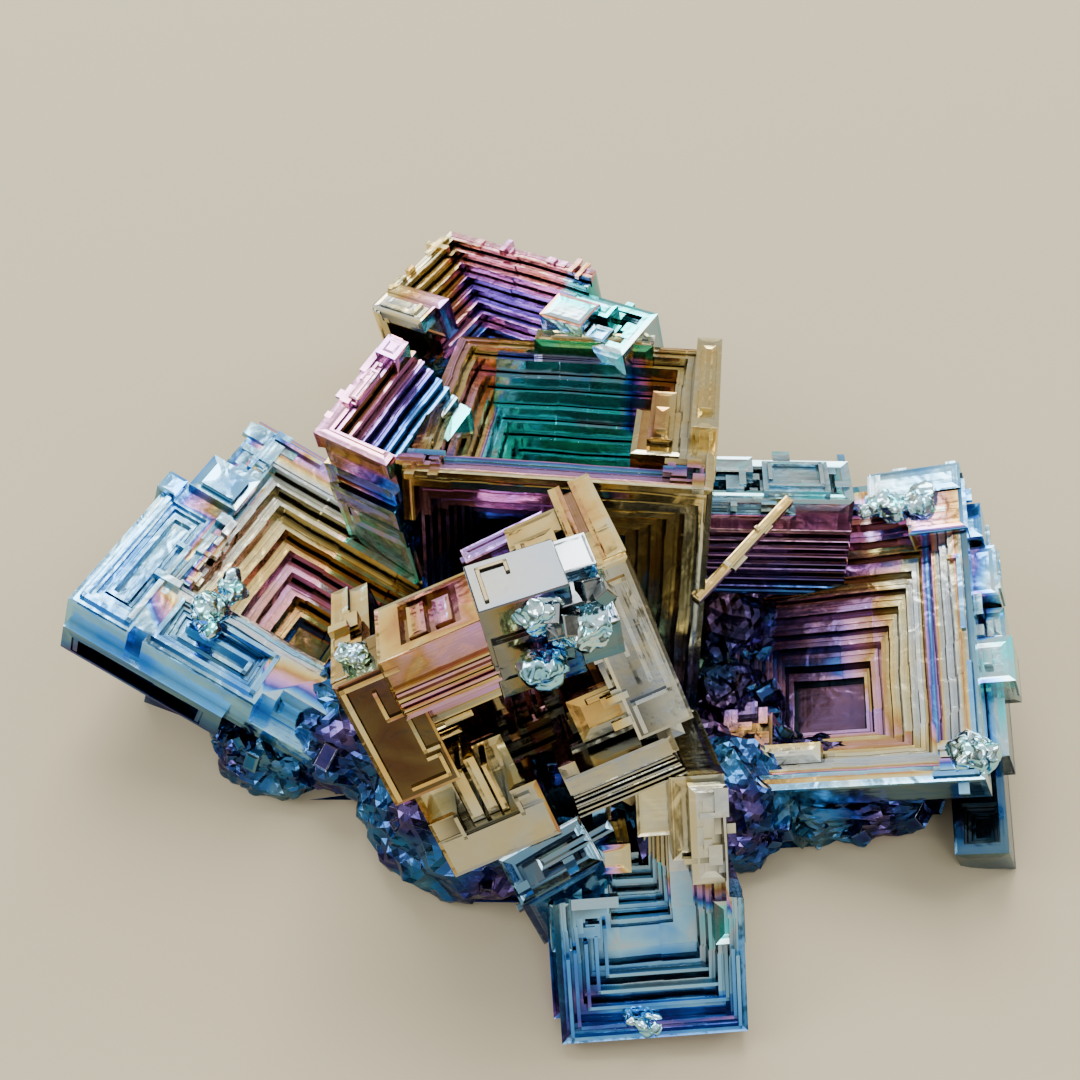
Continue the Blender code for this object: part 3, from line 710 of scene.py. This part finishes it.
# Front crystal: a skeletal one. Two top plates and two arms stand round an open hollow full of thin
# rods; copper and magenta on the left, gold on top, steel and bronze on the right arm.
def front_film(c, n):
    if n.y > 0.5 and c.y > -2:
        return blend(((-27, 0.15), (-20, 0.16), (-18.6, 0.38), (-16.5, 0.4), (-15, 0.15), (-4, 0.14),
                      (-2.6, 0.3), (0, 0.12)), c.x)
    if c.x > -6 and c.y > -17.4:
        return blend(((-17, 0.0), (-9, 0.04), (-3, 0.11), (0, 0.16)), c.y)
    if c.x < -12 and c.y > -7.6:
        wave = 0.09 * math.sin(5.2 * c.y + 0.3 * c.x)
        return blend(((-27, 0.2), (-23, 0.24), (-19, 0.33), (-15, 0.3), (-12, 0.38)), c.x) + wave
    if c.x < -20 and c.y > -14:
        return blend(((-14, 0.2), (-11, 0.13), (-4, 0.16), (0, 0.12)), c.y)
    if c.y < -16:
        if c.x >= -14:
            return 0.06
        return blend(((-26, 0.3), (-24.8, 0.1), (-20, 0.05), (-15.8, 0.08), (-15, 0.3)), c.x)
    return blend(((-13, 0.40), (-8, 0.3), (-4, 0.16), (-2, 0.14)), c.z)


# Painted shade deep in the hollow; the plates at the low end are darker and the rest keeps nearly all
# its colour.
def front_shade_and_tone(c, n):
    if c.z < -5 and c.y < -2:
        return 0.3
    return 0.62 if c.y < -16 else 0.95


w, h, d = 27.2, 22.0, 26.0
front = slab((-w + 1.4, -h + 2.4, -d), (-1.2, -6.6, -2.2), 71, 2, 0.6, 0.15)
without(front, pit(terraces((-w + 5, -4.6, -h - 1, -5.6), (-17.5, -11.5, -h + 6, -11.5),
                            -3.2, -13.0, 9, 41), 1, "xyz", 41))
without(front, pit(terraces((-14.5, -2, -17, -2.5), (-10, -6, -12, -7), -1.5, -3.4, 4, 43),
                   3, "yzx", 43))
without(front, pit(terraces((-16, -8.4, -22, -8.5), (-13, -11, -18, -12), -w + 2.1, -w + 5, 4, 44),
                   -w - 3, "yzx", 44))
arm = slab((-w, -13.6, -7), (-w + 6.3, -0.6, -0.2), 72, 1, 0.2, 0.06)
band = slab((-22.8, -6.0, -10.6), (-13.0, 0, 0.15), 73, 1, 0.3, 0.1)
notch(band, (-20.6, -0.8, -9.4), (-15.0, 1, -1.6))
for i in range(6):
    grown(band, slab((-22.6, -5.6 + 0.5 * i, -1),
                     (-14.0 + 0.3 * (i % 3), -5.3 + 0.5 * i, 0.35 + 0.1 * (i % 2)), 60 + i, 1, 0.1))
grown(front, arm, band, *slabs(
    ((-5.2, -17.0, -8), (0, 0, 0), 74, 1, 0.3),
    ((-4.1, -7.6, -20.5), (-2.9, 0.15, -1), 75),
    ((-2.0, -7.6, -20.5), (0.15, 0.15, -1), 76),
    ((-3.2, -7.6, -20.5), (-1.8, -0.9, -1), 77),
    ((-9.4, -7.4, -17.5), (-4.0, -0.6, -12.0), 78),
    ((-8.8, -3.4, -13), (-5.0, -0.4, -9.6), 79),
    ((-w - 0.1, -7.6, -19.6), (-w + 1.6, -0.5, -1), 80),
    ((-w + 1.5, -7.6, -19.6), (-w + 3.5, -0.9, -1.2), 81),
    ((-22.0, -7.4, -10.2), (-13.6, -5.0, -1.4), 82),
    ((-22.4, -8.6, -6.4), (-12.2, -6.8, -2.2), 83),
    ((-19.8, -1.2, -8.6), (-18.2, -0.1, -2.4), 84),
    ((-17.4, -1.2, -8.0), (-15.8, -0.2, -2.8), 85),
    ((-25.4, -22.8, -4.4), (-15.0, -18.7, 0), 87, 1, 0.2, 0.05),
    ((-25.4, -19.0, -4.4), (-22.6, -16.6, 0), 86, 1),
    ((-17.6, -19.0, -4.4), (-15.0, -16.6, 0), 88, 1),
    ((-21.8, -18.6, -6.4), (-20.6, -13.0, -0.7), 89, 1),
    ((-20.2, -18.6, -6.4), (-19.2, -12.4, -0.9), 90, 1),
    ((-18.9, -18.6, -6.4), (-18.3, -13.4, -0.5), 91, 1),
    ((-10.0, -17.0, -10), (-4.6, -12.4, -3.2), 92),
    ((-24.6, -21, -16), (-16.6, -13.2, -4), 93),
    ((-12.4, -21.4, -16), (-3.4, -17.4, -4), 94)))
for i in range(7):
    grown(front, slab((-12.9 + 0.05 * i, -22.2 + 0.4 * i, -4.2),
                      (-2.4 - 0.1 * i, -22.0 + 0.4 * i, -0.1 - 0.1 * (i % 3)), 95 + i, 1, 0.1, 0.03))
grown(front, *slabs(
    ((-12.8, -19.6, -4.4), (-2.5, -17.8, -0.05), 101, 1),
    ((-3.6, -19.6, -4.4), (-2.3, -16.0, -0.1), 102, 1),
    ((-12.7, -21.8, -4.4), (-2.6, -17.9, -0.7), 103, 1),
    ((-12.8, -19.6, -4.4), (-11.2, -16.4, -0.05), 104, 1)))
rnd = random.Random(5)
for i in range(34):
    x, y = rnd.uniform(-21.5, -5.5), rnd.uniform(-19.5, -6.5)
    tall = rnd.uniform(1.4, 4.6)
    top = (x + rnd.uniform(0.5, 1.3), y + rnd.uniform(0.5, 1.6), -12.6 + tall * 1.7)
    grown(front, slab((x, y, -15), top, 110 + i, 1, 0.15, 0.05))
for i in range(16):
    y, z = rnd.uniform(-17, -6.4), rnd.uniform(-9, -3.2)
    reach = rnd.uniform(2.4, 4.8)
    x = rnd.choice((-22.5, -4.6 - reach))
    grown(front, slab((x, y, z), (x + reach, y + rnd.uniform(0.4, 0.8), z + 0.5), 150 + i, 1, 0.12))
hook(front, ((-4.4, -16.2), (-4.4, -13.2), (-1.0, -13.2), (-1.0, -1.6), (-3.2, -1.6), (-3.2, -8.4)),
     0.0, 0.4, 0.3)
hook(front, ((-2.2, -11.6), (-2.2, -3.2)), 0.0, 0.4, 0.22)
hook(front, ((-26.6, -13.0), (-26.6, -1.2), (-21.6, -1.2)), -0.2, 0.45, 0.3)
hook(front, ((-25.0, -12.6), (-21.6, -12.6), (-21.6, -10.4), (-22.6, -10.4)), -0.2, 0.35, 0.25)
hook(front, ((-21.4, -9.6), (-22.6, -9.6), (-22.6, -5.4), (-24.2, -5.4), (-24.2, -2.6)),
     -0.2, 0.35, 0.25)
hook(front, ((-22.9, -17.0), (-22.9, -19.2), (-17.3, -19.2), (-17.3, -17.6), (-16.2, -17.6)),
     0.0, 0.35, 0.25)
hook(front, ((-12.0, -7.0), (-21.8, -7.0), (-21.8, -8.2)), -2.2, 0.4, 0.4)
sprinkle(front, (-6.0, -17.4, -0.4), (-4.8, -3.0, 0.1), 12, 180, (0.4, 1.3))
sprinkle(front, (-26.5, -2.0, -18), (-24, 0.2, -2), 10, 181, (0.5, 1.6))
sprinkle(front, (-13.4, -4.6, -9), (-11.6, -0.8, -2), 10, 182, (0.6, 1.9))
grow_film(front, front_film, 71, 0.02, front_shade_and_tone)
front_oxide = oxide("front_oxide", 0.12, 0.02, 0.4, 1.0, 0.3)
stand(front, "front_crystal", (7.6, -22.4, 39.5), (61.4, -15.8, 17.2), front_oxide, 0.12)


# Foot crystal: low in front, its pit facing outward and up. Blue and purple below, with bright
# silver risers in the middle and a grey and gold step on the right.
def foot_film(c, n):
    if n.y < -0.5 and c.y < 1:
        return 0.5
    if c.x > -3.8 and c.y > 5:
        return blend(((5, 0.70), (8, 0.76), (13, 0.77)), c.y) if c.y < 13 else 0.05
    if -11.4 < c.x < -6.4 and c.y > 9:
        return blend(((9, 0.69), (12, 0.73), (14, 0.77)), c.y) if c.y < 15 else 0.12
    if c.x < -12:
        return blend(((0, 0.7), (4, 0.5), (7, 0.66), (12, 0.73)), c.y)
    if c.y < 14:
        return blend(((0, 0.68), (1.4, 0.52), (2.2, 0.68), (3.2, 0.64), (4.4, 0.72), (6.4, 0.66),
                      (8.4, 0.73), (12, 0.77)), c.y)
    return blend(((14, 0.02), (16, 0.06), (20, 0.13)), c.y)


# Painted shade: the sides of the steps below the top and the face at the low end are darker.
def foot_painted_shade(c, n):
    return 0.5 if n.z < 0.5 and c.z < -1.2 or c.y <= 0.4 else 1.0


w, l, d = 17.2, 24.5, 20.0
foot = slab((-w, 0, -d), (0, l - 3.2, 0), 51, 2, 0.5, 0.12)
foot_rings = terraces((-w + 1.7, -1.9, 2.4, l + 2), (-13.2, -4.2, 6.8, l + 1), -1.0, -3.2, 4, 51, 0.1)
notch(foot, (-1.2, 13.2, -d - 1), (1, l + 1, 2))
without(foot, pit([[-w + 0.7, -0.8, 1.0, l + 3, -0.25]] + foot_rings, 3, "xyz", 51))
without(foot, pit(terraces((-11.9, -6.2, 9.6, l + 1.6), (-10.9, -8.6, 16.2, l + 0.6),
                           -3.6, -9.6, 8, 52, 0.1), -2, "xyz", 52))
notch(foot, (-w - 1, 13.8, -9.0), (-w + 4.2, l + 1, 2))
without(foot, pit(terraces((2.5, 12, -13, -5), (5, 9, -11, -7), -0.9, -2.8, 4, 53), 3, "yzx", 53))
grown(foot, *slabs(
    ((-9.0, l - 6, -d), (-1.0, l, -2.9), 54),
    ((-6.0, l - 8, -4), (-1.0, l, -1.6), 55),
    ((-4.4, l - 10, -3), (-1.1, l - 0.6, -0.6), 56),
    ((-13.0, 15.6, -8), (-9.8, 18.4, -1.8), 57),
    ((-w - 0.6, 1.6, -10), (-w + 1, 12.8, -1.8), 58),
    ((-w - 0.3, 9.0, -6), (-w + 1.5, 13.6, -0.5), 59),
    ((-2.6, 8.6, -5), (0.15, 12.8, -0.4), 60)))
for i, (low, level) in enumerate(((0.6, 0.0), (1.5, -0.3), (2.9, -1.1), (4.2, -1.6), (5.4, -2.3))):
    start, stop = -w + 0.6 + 0.75 * low, -0.5 - 0.4 * low
    hook(foot, ((start, 8.4 + 0.4 * i), (start, low), (stop, low), (stop, 7.6 + 0.5 * i)),
         level, 0.32, 0.35)
sprinkle(foot, (-16.5, 9.5, -2.4), (-13.0, 14.0, -1.2), 12, 61, (0.5, 1.6))
sprinkle(foot, (-3.6, 14.8, -1.0), (-1.5, 22.5, -0.7), 12, 62, (0.5, 1.3))
grow_film(foot, foot_film, 51, 0.02, foot_painted_shade)
stand(foot, "foot_crystal", (19.5, -48.2, 2.1), (51.3, -2.0, 3.5), oxide("foot_oxide", 0.15, 0.07))


# Small hoppers: the silver block on the front crystal, the pale frame low in the notch beside the
# foot, and the blue-grey one behind the right crystal. The last two have a pit of a few steps on top.
def small_hopper(size, rim, deep, seed, hand=1):
    w, l, h = size
    low, high = (0, w) if hand > 0 else (-w, 0)
    ob = slab((low, 0, -h), (high, l, 0), seed, 3, 0.4, 0.12)
    inner = (low + w * 0.38, high - w * 0.38, l * 0.38, l * 0.62)
    without(ob, pit(terraces((low + rim, high - rim, rim, l - rim), inner, -deep / 3, -deep, 4, 5),
                    3, "xyz", seed))
    return ob


def silver_film(c, n):
    if c.x < 4.4:
        return 0.14 if c.z > 0.1 else 0.03
    return 0.0 if n.z > 0.3 else 0.72


# Painted shade on the sides; the top is much darker on the plate with the hook and a little darker on
# the rest.
def silver_shade_and_tone(c, n):
    if n.z < 0.5:
        return 0.42
    return 0.2 if c.x < 5 else 0.8


def rear_film(c, n):
    if c.z < -1.8:
        return blend(((-12, 0.6), (-8, 0.48), (-5, 0.4), (-2, 0.34)), c.z)
    return blend(((-16, 0.70), (-12, 0.77), (-6, 0.73), (-4, 0.77), (0, 0.73)), c.x)


silver = slab((0, 0, -12), (7.8, 5.4, 0), 201, 1, 0.2, 0.05)
grown(silver, *slabs(
    ((0.4, -0.5, -9), (7.0, 1.2, -4), 202),
    ((5.6, -0.8, -6), (9.6, 2.6, -1.6), 203),
    ((6.2, 2.0, -4.6), (10.6, 5.8, -0.8), 204),
    ((7.4, -2.2, -8), (11.0, 0.6, -3.6), 205)))
hook(silver, ((1.0, 1.0), (1.0, 4.4), (3.4, 4.4), (3.4, 3.4)), 0.0, 0.4, 0.3)
rnd = random.Random(206)
for i in range(14):
    at = Vector((rnd.uniform(5.4, 10.4), rnd.uniform(-1.8, 4.6), rnd.uniform(-5.2, -1.2)))
    cube = slab((-0.9, -0.8, -0.9), (0.9, 0.8, 0.9), 207 + i, 1, 0.25, 0.08)
    cube.scale = [rnd.uniform(0.6, 1.3)] * 3
    cube.rotation_euler = [rnd.uniform(-0.7, 0.7) for _ in range(3)]
    cube.location = at * MM
    alone(cube)
    bpy.ops.object.transform_apply(location=True, rotation=True, scale=True)
    grown(silver, cube)
grow_film(silver, silver_film, 201, 0.02, silver_shade_and_tone)
pale_oxide = oxide("pale_oxide", 0.14, 0.03, 0.5, 0.72)
stand(silver, "silver_block", (-4.7, -28.4, 39.6), (-4.0, -8.0, 16.0), pale_oxide)

corner = small_hopper((8.2, 4.8, 13.0), 1.1, 2.4, 211)
grown(corner, *slabs(
    ((0.6, 1.0, -7), (7.0, 5.6, -1.4), 212),
    ((3.0, 2.0, -3), (10.4, 3.2, -0.2), 213)))
sprinkle(corner, (0.4, -0.4, -8), (8, 4.4, -1), 16, 214, (0.6, 2.0))
grow_film(corner, lambda c, n: 0.75 if n.z > 0.5 else 0.64, 211, 0.02, lambda c, n: 0.45)
stand(corner, "notch_crystal", (-1.3, -41.6, 14.2), (4.0, -12.0, 26.0), pale_oxide)

rear = small_hopper((16.5, 7.5, 22.0), 1.6, 2.4, 221, -1)
grown(rear, *slabs(
    ((-9.4, 0.8, -3), (-2.4, 6.6, 0.5), 222),
    ((-15.8, 4.2, -3), (-10.4, 7.2, 0.6), 223),
    ((-16.0, -0.6, -12), (-6.0, 0.8, -1.6), 224)))
for i in range(9):
    grown(rear, slab((-15.6, -1.5 + 0.1 * i, -3.4 - 1.1 * i), (-0.2, 0.4, -2.9 - 1.1 * i),
                     240 + i, 1, 0.1))
hook(rear, ((-8.6, 1.6), (-3.2, 1.6), (-3.2, 5.8), (-8.6, 5.8), (-8.6, 2.8)), 0.5, 0.4, 0.3)
sprinkle(rear, (-16, 0.2, -0.8), (-0.4, 7.2, 0.3), 22, 226, (0.6, 1.9))
# Painted shade: the sides below the top keep less of their colour.
grow_film(rear, rear_film, 221, 0.03, lambda c, n: 0.4 if c.z < -1.8 else 0.85)
stand(rear, "rear_crystal", (33.3, 1.1, 20.2), (-14.0, -3.0, -4.0), oxide("rear_oxide", 0.18, 0.08))


# Crumpled drops: melt that ran onto the crystals and skinned over, bright silver and pale blue.
def drop_film(c, n):
    return blend(((-0.6, 0.60), (0.0, 0.70), (0.5, 0.75), (0.9, 0.77)), n.z)


def crumple(name, at, size, seed, finish):
    """A drop of metal that skinned over and crumpled as it set."""
    bpy.ops.object.select_all(action="DESELECT")
    bpy.ops.mesh.primitive_ico_sphere_add(subdivisions=5, radius=MM, location=[c * MM for c in at],
                                          scale=size)
    drop = bpy.context.object
    bpy.ops.object.transform_apply(location=True, rotation=True, scale=True)
    for kind, grain, strength in (("CLOUDS", 2.4, 1.4), ("VORONOI", 2.4, 1.5), ("VORONOI", 1.2, 0.3)):
        cloud = bpy.data.textures.new("crumple", kind)
        cloud.noise_scale = grain * MM
        if kind == "VORONOI":
            cloud.distance_metric = "MANHATTAN"
        mod = drop.modifiers.new("crumple", "DISPLACE")
        mod.texture, mod.strength, mod.mid_level = cloud, strength * MM, 0.55
        mod.direction = "NORMAL"
        bpy.ops.object.modifier_apply(modifier=mod.name)
    grow_film(drop, drop_film, seed, 0.02)
    alone(drop)
    cut_at_ground(drop)
    bpy.ops.object.shade_smooth_by_angle(angle=0.7)
    drop.name = drop.data.name = name
    drop.data.materials.append(finish)
    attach(drop, "root")
    return drop


silver_skin = oxide("silver_skin", 0.12, 0.03, 0.4, 1.15)
for i, (at, size) in enumerate((
        ((0.2, -26.6, 38.1), (2.5, 1.7, 1.2)), ((3.4, -27.2, 36.2), (2.2, 1.8, 1.8)),
        ((4.6, -24.6, 36.8), (1.9, 1.5, 1.7)), ((0.6, -29.4, 34.0), (1.5, 1.2, 1.5)),
        ((-15.8, -26.8, 31.0), (1.1, 1.0, 1.1)), ((9.6, -47.6, 2.2), (1.7, 1.0, 1.1)),
        ((-33.4, -11.0, 15.8), (1.2, 2.0, 0.6)), ((-31.8, -6.6, 14.9), (1.3, 2.2, 0.9)),
        ((40.0, 2.0, 19.0), (2.2, 1.4, 0.9)), ((36.6, 1.2, 18.4), (2.0, 1.2, 0.8)),
        ((41.6, -26.0, 14.6), (1.4, 1.8, 0.8)))):
    crumple("crumpled_drop_%d" % (i + 1), at, size, 260 + i, silver_skin)


# Splinters: a thin bar and a plate that bridge the bigger crystals where they grew together.
splinters = (
    ("bridge_bar", slab((-1.5, -0.5, -1.2), (14.0, 0.5, 0), 231, 2, 0.2, 0.06), (17.1, -8.8, 17.8),
     (8.0, -11.0, 46.8), 0.13),
    ("bridge_plate", slab((-9, -0.8, -7), (0, 0.8, 0), 232, 3, 0.3, 0.08), (0.8, -5.9, 25.5),
     (20.0, -14.0, 22.0), 0.42))
pale_gold = oxide("pale_gold_oxide", 0.18, 0.08)
for name, ob, at, turn, tone in splinters:
    sprinkle(ob, [min(v.co[i] for v in ob.data.vertices) / MM for i in range(3)],
             [max(v.co[i] for v in ob.data.vertices) / MM for i in range(3)], 8, 233, (0.4, 1.0))
    grow_film(ob, lambda c, n: tone + 0.06 * n.z, 234)
    stand(ob, name, at, turn, pale_gold, 0.06)


# Root: the crust that the crystals grew from, a lumpy mass of tiny crystals that was cut off flat.
# It is dark blue and teal, and broken up all over.
ROOT_LUMPS = (
    ((-5.7, -23.4, 3.0), (13.0, 12.5, 8.5)), ((7.3, -24.4, 3.0), (14.0, 12.0, 9.0)),
    ((-15.7, -16.4, 4.0), (12.0, 9.0, 8.0)), ((-27.2, -17.4, 2.0), (8.0, 6.5, 5.5)),
    ((19.3, -23.4, 2.0), (9.0, 9.0, 6.5)), ((30.3, -22.4, 1.0), (13.0, 7.0, 5.0)),
    ((-9.7, 27.6, 3.0), (16.0, 13.0, 9.0)), ((7.3, 22.6, 3.0), (13.0, 12.0, 8.0)),
    ((21.3, 1.6, 1.0), (9.0, 11.0, 8.0)), ((20.6, -11.8, 0.0), (6.4, 6.4, 6.0)),
)
LOW_LUMPS = (4, 5, 8)  # lumps whose grains stay low, under the crystals that lean over them


def in_the_shade(c):
    return c.x > 13 and c.y > -20


def root_film(c, n):
    return 0.61 + 0.07 * math.sin(c.x * 0.4) * math.sin(c.y * 0.5) - (0.1 if in_the_shade(c) else 0.0)


crust = []
for centre, half in ROOT_LUMPS:
    bpy.ops.object.select_all(action="DESELECT")
    bpy.ops.mesh.primitive_ico_sphere_add(subdivisions=5, radius=MM, location=[c * MM for c in centre],
                                          scale=half)
    lump = bpy.context.object
    bpy.ops.object.transform_apply(location=True, rotation=True, scale=True)
    for kind, size, strength in (("CLOUDS", 7.0, 2.2), ("VORONOI", 3.2, 2.4), ("VORONOI", 1.3, 0.6)):
        cloud = bpy.data.textures.new("crust", kind)
        cloud.noise_scale = size * MM
        if kind == "VORONOI":
            cloud.distance_metric = "CHEBYCHEV"
        mod = lump.modifiers.new("crust", "DISPLACE")
        mod.texture, mod.strength, mod.mid_level = cloud, strength * MM, 0.62
        mod.texture_coords = "LOCAL"
        bpy.ops.object.modifier_apply(modifier=mod.name)
    crust.append(lump)
root = grown(crust[0], *crust[1:])
grow_film(root, root_film, 241, 0.0, lambda c, n: 0.4 if in_the_shade(c) else 0.9)
crust_oxide = oxide("crust_oxide", 0.2, 0.05, 0.9, 0.3, 0.3)
stand(root, "crusty_root", (0, 0, 0), (0, 0, 0), crust_oxide, 0.02)

rnd = random.Random(8)
grains = []
for i in range(170):
    centre, half = ROOT_LUMPS[i % len(ROOT_LUMPS)]
    around = rnd.uniform(0, math.tau)
    up = rnd.uniform(0.05, 0.35 if i % len(ROOT_LUMPS) in LOW_LUMPS else 0.9)
    reach = math.sqrt(1 - up * up) * rnd.uniform(0.78, 0.9)
    size = rnd.uniform(0.4, 1.2)
    grain = slab((-size, -size * 0.7, -size), (size * 1.2, size * 0.7, size), i, 1, 0.3, 0.12)
    grain.rotation_euler = [rnd.uniform(-0.6, 0.6), rnd.uniform(-0.6, 0.6), rnd.uniform(0, 1.57)]
    grain.location = [MM * (centre[0] + half[0] * reach * math.cos(around)),
                      MM * (centre[1] + half[1] * reach * math.sin(around)),
                      MM * max(size * 0.4, centre[2] + half[2] * up * 0.96)]
    alone(grain)
    bpy.ops.object.transform_apply(location=True, rotation=True, scale=True)
    grains.append(grain)
crumbs = grown(grains[0], *grains[1:])
grow_film(crumbs, lambda c, n: 0.61 + 0.08 * math.sin(c.x * 0.4) * math.sin(c.y * 0.5), 251, 0.04)
stand(crumbs, "root_crystallites", (0, 0, 0), (0, 0, 0), crust_oxide, 0.06)


# Stage: a plain warm paper floor, big soft lamps above and behind, and the camera.
bpy.ops.object.select_all(action="DESELECT")
bpy.ops.mesh.primitive_plane_add(size=6.0, location=(0, 0, 0))
floor = bpy.context.object
floor.name = "floor"
paper = bpy.data.materials.new("paper")
paper.use_nodes = True
ground = paper.node_tree.nodes["Principled BSDF"]
ground.inputs["Base Color"].default_value = (0.49, 0.42, 0.28, 1.0)
ground.inputs["Roughness"].default_value = 0.9
floor.data.materials.append(paper)

for name, place, turn, size, power in (
        ("behind", (-0.1, 0.75, 0.95), (-38, 0, -8), 0.75, 17.0),
        ("left", (-0.8, 0.0, 0.6), (0, -53, 0), 0.4, 4.5),
        ("right", (0.8, 0.3, 0.45), (0, 60, 20), 0.35, 3.5),
        ("front", (0.2, -0.8, 0.7), (48, 0, 14), 0.3, 2.0),
        ("low", (0.05, -1.1, 0.22), (80, 0, 3), 0.7, 0.9)):
    bpy.ops.object.light_add(type="AREA", location=place, rotation=[math.radians(a) for a in turn])
    lamp = bpy.context.object
    lamp.name, lamp.data.size, lamp.data.energy = name, size, power
world = bpy.data.worlds.new("room")
world.use_nodes = True
room = world.node_tree
sky = Wire(room, None).node("ShaderNodeTexCoord", out="Generated")
height = sky.node("ShaderNodeSeparateXYZ", Vector=sky, out="Z")
beyond = sky.node("ShaderNodeSeparateXYZ", Vector=sky, out="Y")
patches = sky.node("ShaderNodeTexNoise", Vector=sky, Scale=2.3, Detail=1.0)
light = (height + beyond * 0.28 + (patches - 0.5) * 0.8).ramp((
    (0.0, (0.12, 0.105, 0.08)), (0.2, (0.34, 0.31, 0.25)), (0.45, (0.62, 0.59, 0.54)),
    (0.7, (1.0, 0.99, 0.97)), (1.0, (0.97, 0.98, 1.0))))
room.links.new(light.socket, room.nodes["Background"].inputs["Color"])
room.nodes["Background"].inputs["Strength"].default_value = 1.1
bpy.context.scene.world = world

bpy.ops.object.camera_add(location=(0.00033, -0.09646, 0.130), rotation=(math.radians(40), 0, 0))
camera = bpy.context.object
camera.data.lens, camera.data.sensor_width = 46.67, 36.0
camera.data.clip_start = 0.005
bpy.context.scene.camera = camera
